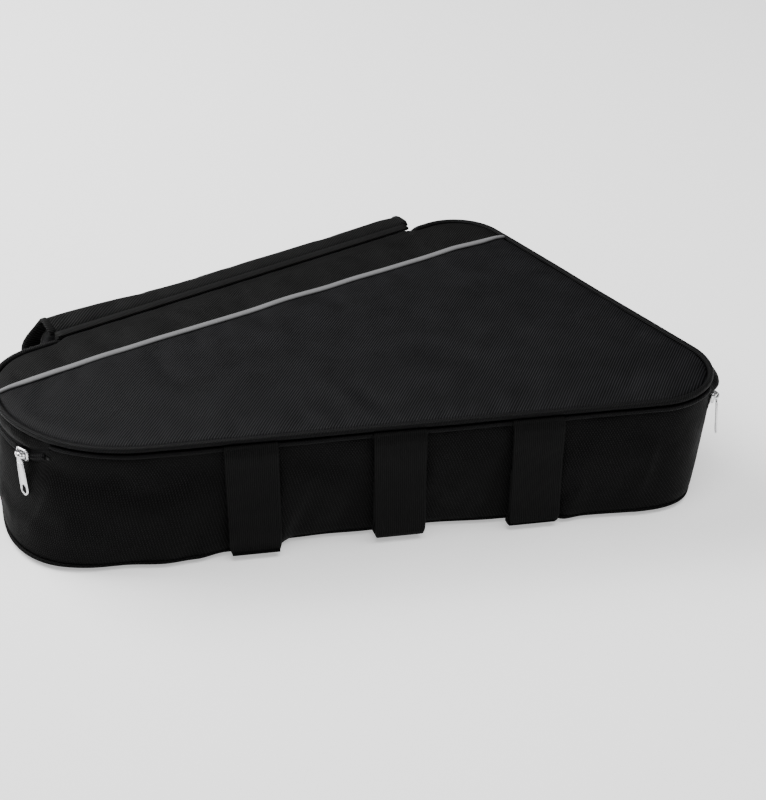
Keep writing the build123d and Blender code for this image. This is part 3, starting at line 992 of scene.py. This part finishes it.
def build_wall():
    """The outer wall: up to the zip, and higher along the front; it turns in at the floor."""
    lengths = all_round()
    seam = SHOULDER_Z + 0.5 * MM + zip_climb(lengths)
    top = seam + (RISER_Z - seam) * front_share(lengths, 12 * MM)
    last = WALL_ROWS - 4

    def heights_for(row):
        if row <= last:
            share = row / last
            return top + (BOTTOM_R - top) * share, np.zeros(len(lengths))
        turn = math.radians(90 * (row - last) / 3)
        z = np.full(len(lengths), BOTTOM_R * (1 - math.sin(turn)) + 0.3 * MM)
        return z, np.full(len(lengths), BOTTOM_R * (1 - math.cos(turn)))

    rows = wall_rows(lengths, 0.0, heights_for)
    wall = wall_grid("wall_cloth", rows, lengths)
    held = np.zeros(rows.shape[:2])
    held[0] = 1
    held[-5:] = 1
    cap = (0.2 * MM + 3.8 * MM * wall_freedom(lengths))[None, :] * np.ones(rows.shape[:2])
    puff(wall, held.ravel(), 1.6, 0.012, cap.ravel())
    solidify(wall, 1.0 * MM)
    subdivide(wall)
    dress(wall, CLOTH_WALL, "tray", "twill_fabric", "wall_panel")


def build_base():
    """The underside lies flat on the floor; board, foam and lining lie over it."""
    lengths = all_round()
    _, normals = along_lid(lengths)
    boundary = along_base(lengths) + normals * (base_extra(lengths) - BOTTOM_R + 0.5 * MM)[:, None]
    under = flat_piece("base_cloth", boundary, lambda xy: np.full(len(xy), 1.1 * MM), 0.8 * MM, 12 * MM)
    dress(under, CLOTH_WALL, "tray", "twill_fabric", "base_panel")
    boundary = along_base(lengths, -7.4 * MM)
    foam = flat_piece("base_foam_pad", boundary, lambda xy: np.full(len(xy), 7.4 * MM), 3.4 * MM, 20 * MM)
    dress(foam, FOAM, "tray", "foam", "base_foam")

    def quilt(xy):
        return 8.3 * MM + 0.5 * MM * ripple(level(xy), 0.08, 41)

    floor = flat_piece("base_lining_cloth", boundary, quilt, 0.6 * MM, 8 * MM)
    dress(floor, LINING, "tray", "lining_fabric", "base_lining")


def wall_layer(name, inward, top_rows, low_z):
    """An inner layer of the wall: its top edge's rows as heights and insets in mm, then down to low_z."""
    lengths = all_round()
    rise = (RISER_Z - SHOULDER_Z) * front_share(lengths, 5 * MM)
    top_rows = in_mm(top_rows)
    count = 12

    def heights_for(row):
        if row < len(top_rows):
            z, inset = top_rows[row]
            return z + rise, np.full(len(lengths), inset - inward)
        share = (row - len(top_rows) + 1) / (count - len(top_rows))
        start = top_rows[-1][0] + rise
        return start + (low_z - start) * share, np.zeros(len(lengths))

    rows = wall_rows(lengths, inward, heights_for, count, extra_share=0.5, belly=0.0)
    return wall_grid(name, rows, lengths), rows


def build_wall_layers():
    """Foam and lining behind the outer wall; the lining rolls over the foam's top edge."""
    foam, _ = wall_layer("wall_foam_pad", 1.9 * MM, [(71.5, 1.9), (70, 1.9)], 4.5 * MM)
    solidify(foam, 2.9 * MM)
    dress(foam, FOAM, "tray", "foam", "wall_foam")
    rolled = [(75.0, 1.7), (74.6, 3.0), (73.4, 5.6), (70.5, 6.7)]
    lining, rows = wall_layer("wall_lining_cloth", 6.3 * MM, rolled, 8.0 * MM)
    held = np.zeros(rows.shape[:2])
    held[:3] = 1
    held[-1] = 1
    puff(lining, held.ravel(), 0.0, 0.010, 1.2 * MM)
    solidify(lining, 0.6 * MM, 1.0)
    subdivide(lining)
    dress(lining, LINING, "tray", "lining_fabric", "wall_lining")


def build_welt():
    """The fabric-covered cord in the seam between the wall and the base."""
    lengths = all_round(3 * MM)
    _, normals = along_lid(lengths)
    points = along_base(lengths) + normals * (base_extra(lengths) - 1.7 * MM)[:, None]
    path, up = level(points, 4.3 * MM), repeated(UP, len(points))
    welt = sweep("bottom_welt_cloth", path, level(normals), up, ring_section(1.5 * MM), closed=True)
    dress(welt, CLOTH_WALL, "tray", "edge_piping", "bottom_welt")


# the web's section: out from the front edge, and up from the ridge's middle
HINGE_WEB = (
    (0.0, 0.4), (-1.0, 1.9), (-3.5, 2.5), (-9.0, 3.9), (-9.0, 3.3), (-3.5, 1.9), (-1.4, 1.3), (-0.6, 0.2),
)


def build_ridge():
    """The folded strip below the piping along the front, and the web that joins the lid to the wall."""
    lengths = stations(FRONT_START - 2 * MM, FRONT_END + 2 * MM, 3 * MM)
    path, out, up = plan_frame(lengths, 0.2 * MM, 96.2 * MM)
    path[:, 2] += 0.4 * MM * ripple(path, 0.05, 31)
    to_end = np.minimum(lengths - lengths[0], lengths[-1] - lengths)
    size = (0.35 + 0.65 * smooth(to_end, 0.0, 5 * MM))[:, None]
    ridge = sweep("hinge_strip_cloth", path, out * size, up * size, oval(2.3 * MM, 1.7 * MM, 16))
    web = sweep("hinge_web_cloth", path, out, up, in_mm(HINGE_WEB))
    strip = joined("hinge_strip_and_web", [ridge, web])
    dress(strip, CLOTH_CORD, None, "twill_fabric", "hinge_strip")
    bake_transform(strip)


# ======================= zip =======================

COIL_PITCH = 1.9 * MM
COIL_TURN_STEPS = 8
CHAIN_TURN = math.radians(4)
CHAIN_START = LID.length_at(1, ZIP_END_RIGHT + CHAIN_TURN)
CHAIN_END = LID.length_at(0, ZIP_END_LEFT - CHAIN_TURN) + LID.total


def build_tape(name, body, low, high, node):
    """One half of the zip's tape, standing along the seam."""
    lengths = stations(FRONT_END + 1 * MM, FRONT_START + LID.total - 1 * MM, GRID)
    points, normals = along_lid(lengths, -0.2 * MM)
    climb = zip_climb(lengths)
    rows = np.array([level(points, z + climb) for z in (high, (low + high) / 2, low)])
    tape = grid(name, rows, lengths, (0.0, (high - low) / 2, high - low))
    solidify(tape, 0.6 * MM)
    dress(tape, ZIP_TAPE, body, "zip_tape", node)


def build_coil(name, body, middle_z, shift, node):
    """A nylon coil sewn along the tape's edge; the two coils' loops reach between each other."""
    turns = int((CHAIN_END - CHAIN_START) / COIL_PITCH) - 1
    steps = np.arange(turns * COIL_TURN_STEPS + 1) / COIL_TURN_STEPS
    lengths = CHAIN_START + (steps + shift + 0.5) * COIL_PITCH
    path, out, up = plan_frame(lengths, -0.3 * MM, middle_z)
    path[:, 2] += zip_climb(lengths)
    turn = 2 * np.pi * steps[:, None]
    path = path + out * np.cos(turn) * 1.15 * MM + up * np.sin(turn) * 1.75 * MM
    ahead = unit(np.gradient(path, axis=0))
    side = unit(np.cross(ahead, out * np.cos(turn) + up * np.sin(turn)))
    coil = sweep(name, path, side, np.cross(side, ahead), ring_section(0.42 * MM, 5))
    dress(coil, COIL, body, "zip_coil", node)


def build_zip():
    """Both halves of the zip; the tray's tape stands on the wall and the lid's hangs from the rim."""
    build_tape("zip_tape_lower_cloth", "tray", SHOULDER_Z - 0.6 * MM, ZIP_Z - 1.0 * MM, "zip_tape_lower")
    build_tape("zip_tape_upper_cloth", "lid", ZIP_Z + 1.0 * MM, RIM_LOW_Z + 0.6 * MM, "zip_tape_upper")
    build_coil("zip_coil_lower", "tray", ZIP_Z - 1.3 * MM, 0.0, "zip_teeth_lower")
    build_coil("zip_coil_upper", "lid", ZIP_Z + 1.3 * MM, 0.5, "zip_teeth_upper")


def flat_metal(name, outline, holes, depth, bevel):
    """A plate cut to a closed outline with holes, its edges rounded, centred on z 0."""
    verts, edges = [], []
    for ring in [outline] + holes:
        first = len(verts)
        verts += [Vector(p) for p in ring]
        edges += [(first + i, first + (i + 1) % len(ring)) for i in range(len(ring))]
    points, faces, centres = delaunay(verts, edges, 1e-9)
    keep = within(np.array(outline), centres) > 0
    for ring in holes:
        keep &= within(np.array(ring), centres) < 0
    faces = [f for f, good in zip(faces, keep) if good]
    plate = mesh_object(name, level(points, depth / 2), faces)
    thick = plate.modifiers.new("thickness", "SOLIDIFY")
    thick.thickness = depth
    thick.offset = -1.0 if plate.data.polygons[0].normal.z > 0 else 1.0
    rounding = plate.modifiers.new("rounding", "BEVEL")
    rounding.width = bevel
    rounding.segments = 3
    rounding.limit_method = "ANGLE"
    rounding.angle_limit = math.radians(50)
    bake_modifiers(plate)
    return plate


def corner_arc(before, here, after, radius, steps):
    """The arc that rounds the corner at here, between two straight lines."""
    here = Vector(here)
    before, after = (Vector(before) - here).normalized(), (Vector(after) - here).normalized()
    half = before.angle(after) / 2
    reach = radius / math.tan(half)
    centre = here + (before + after).normalized() * radius / math.sin(half)
    first, last = here + before * reach - centre, here + after * reach - centre
    swing = first.angle_signed(last)
    return [tuple(centre + Matrix.Rotation(-swing * step / steps, 2) @ first) for step in range(steps + 1)]


def rounded_polygon(corners, radius, steps=6):
    points = []
    for i, corner in enumerate(corners):
        points += corner_arc(corners[i - 1], corner, corners[(i + 1) % len(corners)], radius, steps)
    return points


def rounded_box(half_width, half_height, radius, steps):
    signs = ((-1, -1), (1, -1), (1, 1), (-1, 1))
    return rounded_polygon([(a * half_width, b * half_height) for a, b in signs], radius, steps)


def joined(name, parts):
    """One object from several, in the place of the first."""
    work = bmesh.new()
    for part in parts:
        part.data.transform(part.matrix_basis)
        work.from_mesh(part.data)
    mesh = bpy.data.meshes.new(name)
    work.to_mesh(mesh)
    work.free()
    for part in parts:
        bpy.data.objects.remove(part)
    mesh.polygons.foreach_set("use_smooth", [True] * len(mesh.polygons))
    return placed(name, mesh)


def smooth_by_angle(obj, degrees=40):
    sharp = math.radians(degrees)
    work = bmesh.new()
    work.from_mesh(obj.data)
    bmesh.ops.remove_doubles(work, verts=work.verts, dist=1e-6)
    for edge in work.edges:
        edge.smooth = len(edge.link_faces) == 2 and edge.calc_face_angle(0) < sharp
    work.to_mesh(obj.data)
    work.free()


def arch_tube(name, path, radius, sides=12):
    """A tube along a path that keeps to the x and z directions."""
    path = np.array(path, float)
    ahead = unit(np.gradient(path, axis=0))
    side = unit(np.cross(ahead, (0.0, 1.0, 0.0)))
    return sweep(name, path, side, np.cross(side, ahead), ring_section(radius, sides))


def tube_ring(name, points, radius, sides=8):
    """A tube round a closed ring of points."""
    path = np.array(points, float)
    ahead = unit(np.roll(path, -1, 0) - np.roll(path, 1, 0))
    flat = repeated(unit(np.cross(path[1] - path[0], path[len(path) // 3] - path[0])), len(path))
    return sweep(name, path, np.cross(ahead, flat), flat, ring_section(radius, sides), closed=True)


BAR_OUT = 5.6 * MM
PULLER_L = 33 * MM


def slider_parts(side, mouth):
    """Slider in its own frame: x along the zip, y up, z out of the wall; mouth is the wide end's sign."""
    corners = [(-6.8, -4.0), (-6.8, 4.0), (6.8, 5.2), (6.8, -5.2)]
    ring = rounded_polygon([(x * MM * mouth, y * MM) for x, y in corners][::mouth], 2.8 * MM)
    outer = flat_metal("outer", ring, [], 1.4 * MM, 0.5 * MM)
    outer.location.z = 2.0 * MM
    inner = flat_metal("inner", ring, [], 1.4 * MM, 0.4 * MM)
    inner.location.z = -4.3 * MM
    post = flat_metal("post", rounded_box(2 * MM, 0.4 * MM, 0.3 * MM, 3), [], 5.2 * MM, 0.1 * MM)
    post.location = (3.5 * MM * mouth, 0, -1.1 * MM)
    lip = [(x * 0.86, y * 0.86, 2.9 * MM) for x, y in ring]
    lip = tube_ring("lip", lip, 0.55 * MM)
    turns = [math.pi * step / 24 for step in range(25)]
    arch = [(-4.9 * MM * math.cos(t), 0.0, 2.6 * MM + 3.9 * MM * math.sin(t) ** 0.55) for t in turns]
    bridge = arch_tube("bridge", arch, 0.95 * MM)
    bridge.data.transform(Matrix.Diagonal((1, 1.5, 1, 1)))
    return joined(f"slider_{side}_plates", [outer, inner, post, lip, bridge])


def puller_parts(side):
    """A tab that widens to a rounded tip, with a raised rim, a long hole and an eye round the bridge."""
    tip_r = 4.4 * MM
    tip = -PULLER_L + tip_r
    turns = [math.pi + math.pi * step / 16 for step in range(17)]
    profile = [(tip_r * math.cos(t), tip + tip_r * math.sin(t)) for t in turns]
    profile += in_mm([(4.2, -20), (3.5, -5), (3.1, -3), (-3.1, -3), (-3.5, -5), (-4.2, -20)])
    hole = [(0.66 * x, 0.95 * (y - tip) + tip + 0.8 * MM) for x, y in oval(4.0 * MM, 4.0 * MM, 24, y=tip)]
    tab = flat_metal("tab", profile, [hole], 1.3 * MM, 0.45 * MM)
    rim = [(x * 0.84, (y - tip) * 0.86 + tip, 0.62 * MM) for x, y in profile]
    rim = tube_ring("rim", rim, 0.45 * MM)
    collar = [(x * 1.16, (y - tip - 0.8 * MM) * 1.07 + tip + 0.8 * MM, 0.62 * MM) for x, y in hole]
    collar = tube_ring("collar", collar, 0.32 * MM)
    eye = [(0.0, y, z) for y, z in oval(1.75 * MM, 1.75 * MM, 20)]
    hoop = tube_ring("hoop", eye, 0.7 * MM)
    hoop.data.transform(Matrix.Diagonal((3.2, 1, 1, 1)))
    corners = in_mm([(-2.2, -4.5), (2.2, -4.5), (2.0, -1.6), (-2.0, -1.6)])
    neck = flat_metal("neck", rounded_polygon(corners, 0.5 * MM, 3), [], 1.6 * MM, 0.4 * MM)
    return joined(f"puller_{side}_tab", [tab, rim, collar, hoop, neck])


def on_arc(corner, angle, inset, z):
    """The frame of a piece on a corner's arc: x along the zip, y up, z outwards."""
    out = Vector((math.cos(angle), math.sin(angle), 0))
    centre = LID.centres[corner] + (LID_RADII[corner] - inset) * np.array(out[:2])
    place = Matrix.Identity(4)
    place.col[0][:3], place.col[1][:3], place.col[2][:3] = (-out.y, out.x, 0), UP, out
    place.col[3][:3] = (*centre, z)
    return place


def build_sliders():
    """Each slider and its puller, on the arc of its front corner."""
    for side, corner, degrees, mouth, lean_angle in (("left", 0, 218, 1, 10), ("right", 1, -16, -1, -6)):
        place = on_arc(corner, math.radians(degrees), 0.0, ZIP_Z)
        slider = slider_parts(side, mouth)
        slider.data.transform(place)
        smooth_by_angle(slider)
        dress(slider, METAL, f"slider_{side}", "zip_metal", f"slider_{side}_body")
        puller = puller_parts(side)
        lean = Matrix.Rotation(math.radians(-4), 4, "X") @ Matrix.Rotation(math.radians(lean_angle), 4, "Z")
        puller.data.transform(place @ Matrix.Translation((0, 0, BAR_OUT)) @ lean)
        smooth_by_angle(puller)
        dress(puller, METAL, f"puller_{side}", "zip_metal", f"puller_{side}")


def build_stops():
    """A short crimp round the coils at each end of the zip."""
    for side, corner, end, inward in (("left", 0, ZIP_END_LEFT, -1), ("right", 1, ZIP_END_RIGHT, 1)):
        angle = end + inward * CHAIN_TURN / 2
        low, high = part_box(f"zip_stop_{side}")
        ring = rounded_box(1.3 * MM, (high.z - low.z) / 2, 0.5 * MM, 4)
        stop = flat_metal("stop", ring, [], 2.6 * MM, 0.45 * MM)
        climb = float(zip_climb([LID.length_at(corner, angle)])[0])
        stop.data.transform(on_arc(corner, angle, 0.4 * MM, (low.z + high.z) / 2 + climb))
        stop.name = f"zip_stop_{side}_crimp"
        smooth_by_angle(stop)
        # the stop takes the near-black copy of the plated metal, which is painted shade
        dress(stop, SHADED_METAL, "tray", "zip_metal", f"zip_stop_{side}")


# ======================= straps =======================

WEBBING_T = 1.8 * MM
FOLD_Z = 4.2 * MM
INNER_TOP_Z = 57 * MM
PATCH_LOW_Z = 12 * MM
PATCH_HIGH_Z = 45 * MM
STRAP_ROUNDINGS = (1.5, 6, 20, 20, 8, 3.4, 3.4)    # mm, one for each inner corner of the strap's path


def wall_y(z, x):
    """How far the front wall's face stands behind the front edge, at height z behind a strap at x."""
    foot = max(float(through(FRONT_FOOT, x + side * WEBBING_W / 2)) for side in (-0.8, 0, 0.8)) * MM
    return (BASE_TUCKS[0] - foot) * (SHOULDER_Z - z) / SHOULDER_Z


def rounded_path(corners, radii, step):
    """Evenly spaced points on a polyline whose corners are rounded, and how far each lies along it."""
    points = [corners[0]]
    for i, radius in enumerate(radii):
        points += corner_arc(*corners[i:i + 3], radius, 8)
    points = np.array(points + [corners[-1]])
    return evenly(points, int(travelled(points)[-1] / step) + 1)


def strap_section():
    """The webbing's section, with points across both faces so that it can wave."""
    section = band_section(WEBBING_W, WEBBING_T, 4)
    flat = WEBBING_W / 2 - 2 * MM
    top = [(u, WEBBING_T / 2) for u in np.linspace(flat, -flat, 12)]
    return section[:5] + top + section[5:] + [(-u, -v) for u, v in top]


def build_strap(number, x, skew, stand, seed):
    """Webbing from under the ridge down to the floor and back up behind, its inner leg skewed."""
    behind = wall_y(PATCH_LOW_Z, x) - 4.1 * MM
    lean = wall_y(0, x) / SHOULDER_Z
    fold_y = behind + lean * (PATCH_LOW_Z - FOLD_Z)
    corners = in_mm([(0.0, 98.0), (-3.6, 97.4), (-5.6, 91.5), (-5.3, 82.0)]) + [
        (-2.8 * MM - 0.45 * stand, 66.0 * MM),
        (-stand, 24.0 * MM),
        (-stand + 0.6 * MM, FOLD_Z),
        (fold_y, FOLD_Z),
        (fold_y - lean * (INNER_TOP_Z - FOLD_Z), INNER_TOP_Z),
    ]
    profile, run = rounded_path(corners, [radius * MM for radius in STRAP_ROUNDINGS], 1.6 * MM)
    y, z = profile.T
    turn_start = run[int(np.argmin(z))] - 4 * MM
    behind_leg = smooth(run, turn_start, turn_start + 16 * MM)
    shift = -skew * behind_leg * (1 - smooth(z, 5 * MM, 15 * MM))
    leg = 1 - smooth(run, turn_start - 14 * MM, turn_start)
    path = np.column_stack([x + shift, FRONT_Y + y, z])
    sway = smooth(z, 8 * MM, 20 * MM) * (1 - smooth(z, 80 * MM, 88 * MM)) * leg
    path[:, 1] -= 0.5 * MM * np.sin(z / (17 * MM) + seed) * sway
    ahead = np.gradient(path, axis=0)
    ahead[:, 0] = 0
    across = repeated(SIDEWAYS, len(path))
    width = WEBBING_W + 0.6 * MM * np.sin(run / (31 * MM) + seed) - 4 * MM * (1 - smooth(z, 1 * MM, 12 * MM))
    across_here = across * (width / WEBBING_W)[:, None]
    strap = sweep(f"strap_{number}_web", path, across_here, np.cross(across, unit(ahead)), strap_section())
    points = coordinates(strap.data)
    outside = smooth(points[:, 2], 0.004, 0.02) * (points[:, 1] < FRONT_Y)
    points[:, 1] -= 0.35 * MM * ripple(points, 0.022, 50 + seed) * outside
    strap.data.vertices.foreach_set("co", points.ravel())
    strap.data.update()
    dress(strap, WEBBING, None, "webbing", f"strap_{number}_webbing")
    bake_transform(strap)
    own = f"strap_{number}"
    for kind, front, body, material in (("loop", 0.6, "tray", LOOPS), ("hook", 2.0, own, HOOKS)):
        z = np.linspace(PATCH_LOW_Z, PATCH_HIGH_Z, 12)
        path = np.column_stack([np.full(12, x), FRONT_Y + wall_y(z, x) - front * MM, z])
        ahead, across = unit(repeated((0.0, -lean, 1.0), 12)), repeated(SIDEWAYS, 12)
        section = band_section(WEBBING_W - 4 * MM, 1.1 * MM, 4)
        patch = sweep(f"strap_{number}_{kind}_tape", path, across, np.cross(across, ahead), section)
        dress(patch, material, body, f"{kind}_tape", f"strap_{number}_{kind}_patch")


def build_straps():
    """Each strap has its own skew, its own distance from the wall and its own waves."""
    for number, skew, stand in ((1, -0.5, 7.6), (2, 3, 4.8), (3, 5, 4.8)):
        build_strap(number, STRAP_X[number - 1], skew * MM, stand * MM, number)


# ======================= wrap =======================

BACK_NORMAL = np.array(LID.lines[2][0])
BACK_ALONG = np.array([BACK_NORMAL[1], -BACK_NORMAL[0]])
BACK_LEFT = np.array([-LENGTH / 2, LEFT_DEPTH - DEPTH / 2])
# the flap's section, in mm: out from the back edge and up, from the seam round to its free edge
WRAP_PROFILE = (
    (12.3, 100.6), (13.2, 103.1), (18.0, 103.7), (24.0, 103.8), (29.0, 103.9), (32.2, 101.4), (36.5, 94.5),
    (42.0, 85.5), (47.5, 75.5), (52.0, 65.0), (51.5, 55.0), (44.0, 48.0), (34.0, 45.0), (22.0, 44.2),
    (12.4, 43.0), (8.8, 38.0), (7.9, 30.0), (7.8, 20.0), (7.8, 14.4),
)


def spline(points, step):
    """A smooth open curve through points, sampled evenly."""
    points = np.array(points, float)
    ends = np.vstack([2 * points[0] - points[1], points, 2 * points[-1] - points[-2]])
    fine = []
    for i in range(1, len(ends) - 2):
        a, b, c, d = ends[i - 1:i + 3]
        for t in np.linspace(0, 1, 12, endpoint=False):
            bend, twist = 2 * a - 5 * b + 4 * c - d, 3 * b - a - 3 * c + d
            fine.append(0.5 * (2 * b + (c - a) * t + bend * t * t + twist * t ** 3))
    fine = np.array(fine + [points[-1]])
    return evenly(fine, int(round(travelled(fine)[-1] / step)) + 1)


def back_point(along, out, z):
    """Points measured from the back edge: along it, and at one distance out from it and up."""
    return level(BACK_LEFT + np.multiply.outer(along, BACK_ALONG) + out * BACK_NORMAL, z)


def wrap_surface():
    """The flap's outer face as rows from the hinge round to the tongue's end, right to left."""
    profile, run = spline(np.array(WRAP_PROFILE) * MM, 5 * MM)
    along = np.linspace(WRAP_END + WRAP_EXTRA, WRAP_START, int(WRAP_LENGTH / GRID) + 1)
    to_edge = run[-1] - run
    loose = smooth(run, 8 * MM, 40 * MM) * smooth(to_edge, 38 * MM, 62 * MM)
    flare = 3 * MM + 12 * MM * smooth(run, 18 * MM, 52 * MM) * smooth(to_edge, 45 * MM, 75 * MM)
    near_left = 1 - smooth(along, WRAP_START, WRAP_START + 90 * MM)
    left = 1 - smooth(along, WRAP_START + 10 * MM, WRAP_START + 130 * MM)
    right = smooth(along, WRAP_END - 14 * MM, WRAP_END + WRAP_EXTRA)
    rows = []
    for (d, z), slack, flared, reach in zip(profile, loose, flare, run):
        row = back_point(along - flared * near_left, d, z)
        wave = ripple(row, 0.075, 61) * 1.5 * MM + ripple(row, 0.03, 63) * 0.5 * MM
        high = smooth(z, 60 * MM, 95 * MM)
        row[:, 2] += (0.4 * wave - 3.0 * MM * right * high) * slack
        row[:, 2] += 4.0 * MM * left * high * float(smooth(reach, 3 * MM, 17 * MM))
        row[:, :2] += np.multiply.outer((0.8 * wave - 2.0 * MM * right) * slack, BACK_NORMAL)
        rows.append(row)
    return np.array(rows), along, run


def offset_rows(rows, inward):
    """The same grid moved along its own normals, away from the flap's outer face."""
    return rows + unit(np.cross(np.gradient(rows, axis=1), np.gradient(rows, axis=0))) * inward


def wrap_hem(rows, column):
    """A bound edge at one end of the flap; column is 0 for the right end and -1 for the left."""
    inward = -1 if column == 0 else 1
    path = offset_rows(rows, 1.0 * MM)[:, column]
    path[:, :2] += BACK_ALONG * 2.4 * MM * inward
    side = repeated((*BACK_ALONG, 0.0), len(path))
    ahead = unit(np.gradient(path, axis=0))
    return sweep(f"hem_{column}", path, side, np.cross(side, ahead), band_section(6.0 * MM, 2.8 * MM, 6))


def build_wrap():
    """The flap's three layers, which stay on the tray at the seam, and the tape that closes it."""
    rows, along, run = wrap_surface()
    cover = grid("wrap_cover_cloth", rows, along, run)
    held = np.zeros(rows.shape[:2])
    held[:2] = held[-8:] = 1
    held[:, 0] = held[:, -1] = 0.5
    puff(cover, held.ravel(), 1.0, 0.008, 1.5 * MM)
    rows = coordinates(cover.data).reshape(rows.shape)
    solidify(cover, 1.1 * MM)
    subdivide(cover)
    whole = joined("wrap_cover_and_hems", [cover] + [wrap_hem(rows, column) for column in (0, -1)])
    dress(whole, CLOTH_WRAP, None, "twill_fabric", "wrap_cover")
    layers = [whole]
    for name, inward, thickness, material, slot, node in (
        ("wrap_padding_foam", 1.2, 2.8, FOAM, "foam", "wrap_padding"),
        ("wrap_lining_cloth", 4.2, 0.8, LINING, "lining_fabric", "wrap_lining"),
    ):
        layer = grid(name, offset_rows(rows, inward * MM)[:, 3:-3], along[3:-3], run)
        solidify(layer, thickness * MM)
        layers.append(dress(layer, material, None, slot, node))
    for layer in layers:
        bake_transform(layer)
    reach = np.linspace(WRAP_START + 10 * MM, WRAP_END - 10 * MM, 40)
    out, up = repeated((*BACK_NORMAL, 0.0), len(reach)), repeated(UP, len(reach))
    for kind, d, body, material in (("loop", 0.6, "tray", LOOPS), ("hook", 2.0, "wrap", HOOKS)):
        path = back_point(reach, d * MM, 28 * MM)
        patch = sweep(f"wrap_{kind}_tape", path, up, out, band_section(24 * MM, 1.1 * MM, 4))
        dress(patch, material, body, f"{kind}_tape", f"wrap_{kind}_patch")


# the gusset's section, in mm: out from the back edge and up; its lip reaches over towards the lid
GUSSET_OUTLINE = (
    (0.1, 58.0), (0.1, 66.0), (5.0, 74.0), (8.4, 94.0), (8.6, 98.6), (5.0, 100.0), (3.6, 101.2), (3.9, 103.0),
    (8.0, 103.4), (11.4, 103.3), (12.0, 102.4), (11.2, 99.4), (11.0, 94.5), (10.0, 74.0), (4.6, 62.5),
)


def build_gusset():
    """The folded strip sewn between the back wall and the wrap."""
    reach = np.linspace(WRAP_START, WRAP_END + WRAP_EXTRA - 5 * MM, 72)
    out, up = repeated((*BACK_NORMAL, 0.0), len(reach)), repeated(UP, len(reach))
    ring = rounded_polygon(in_mm(GUSSET_OUTLINE)[::-1], 0.5 * MM, 3)
    gusset = sweep("wrap_gusset_cloth", back_point(reach, 0.0, 0.0), out, up, ring)
    dress(gusset, CLOTH_WRAP, "tray", "twill_fabric", "wrap_gusset")


# ======================= stage =======================

def build_stage():
    """The pale floor, a faint sky and two soft lights."""
    bpy.ops.mesh.primitive_plane_add(size=12, location=(0, 0, -0.0005))
    floor = bpy.context.object
    floor.name = "studio_floor"
    paint = Paint("pale_floor")
    paint.shader.inputs["Emission Color"].default_value = (1, 1, 1, 1)
    paint.shader.inputs["Emission Strength"].default_value = 0.5
    floor.data.materials.append(paint.finish((0.9, 0.9, 0.9, 1.0), 0.9, specular=0.1))
    world = bpy.data.worlds.new("studio")
    world.use_nodes = True
    sky = world.node_tree.nodes["Background"]
    sky.inputs["Color"].default_value = (1, 1, 1, 1)
    sky.inputs["Strength"].default_value = 0.12
    bpy.context.scene.world = world
    for name, place, size, power in (
        ("back_softbox", (-1.5, 1.1, 1.7), (1.8, 1.4), 115),
        ("top_softbox", (0.4, -0.6, 2.4), (2.2, 1.8), 66),
    ):
        data = bpy.data.lights.new(name, "AREA")
        data.shape = "RECTANGLE"
        data.size, data.size_y = size
        data.energy = power
        light = placed(name, data)
        light.location = place
        aim = Vector((0, 0, 0.05)) - Vector(place)
        light.rotation_euler = aim.to_track_quat("-Z", "Y").to_euler()


CAMERA_AZIMUTH = math.radians(-9.4)
CAMERA_ELEVATION = math.radians(32.0)
CAMERA_DISTANCE = 1.421
CAMERA_TARGET = Vector((0.0139, -0.0551, 0.052))
CAMERA_LENS = 78.75


def build_camera():
    data = bpy.data.cameras.new("camera")
    data.lens = CAMERA_LENS
    data.sensor_width = 36
    camera = placed("camera", data)
    away = Vector((0, -math.cos(CAMERA_ELEVATION), math.sin(CAMERA_ELEVATION)))
    away.rotate(Matrix.Rotation(CAMERA_AZIMUTH, 3, "Z"))
    camera.location = CAMERA_TARGET + away * CAMERA_DISTANCE
    camera.rotation_euler = (-away).to_track_quat("-Z", "Y").to_euler()
    bpy.context.scene.camera = camera


def paint_cad():
    """Materials for the CAD nodes that are shown as they are."""
    by_slot = {
        "twill_fabric": CLOTH_WALL, "reflective_piping": REFLECTIVE, "edge_piping": CLOTH_CORD,
        "webbing": WEBBING, "lining_fabric": LINING, "foam": FOAM, "stiffener_board": COIL,
        "hook_tape": HOOKS, "loop_tape": LOOPS, "zip_tape": ZIP_TAPE, "zip_coil": COIL, "zip_metal": METAL,
    }
    slots = {entry["node"]: entry["material_slot"] for entry in frame["record"]["subparts"]}
    for name, node in frame["nodes"].items():
        node.data.materials.clear()
        node.data.materials.append(by_slot[slots[name]])


build_camera()
build_stage()
paint_cad()
build_lid_panels()
build_strip()
build_edge_piping()
build_lid_layers()
build_rim()
build_wall()
build_wall_layers()
build_base()
build_welt()
build_ridge()
build_zip()
build_sliders()
build_stops()
build_straps()
build_wrap()
build_gusset()
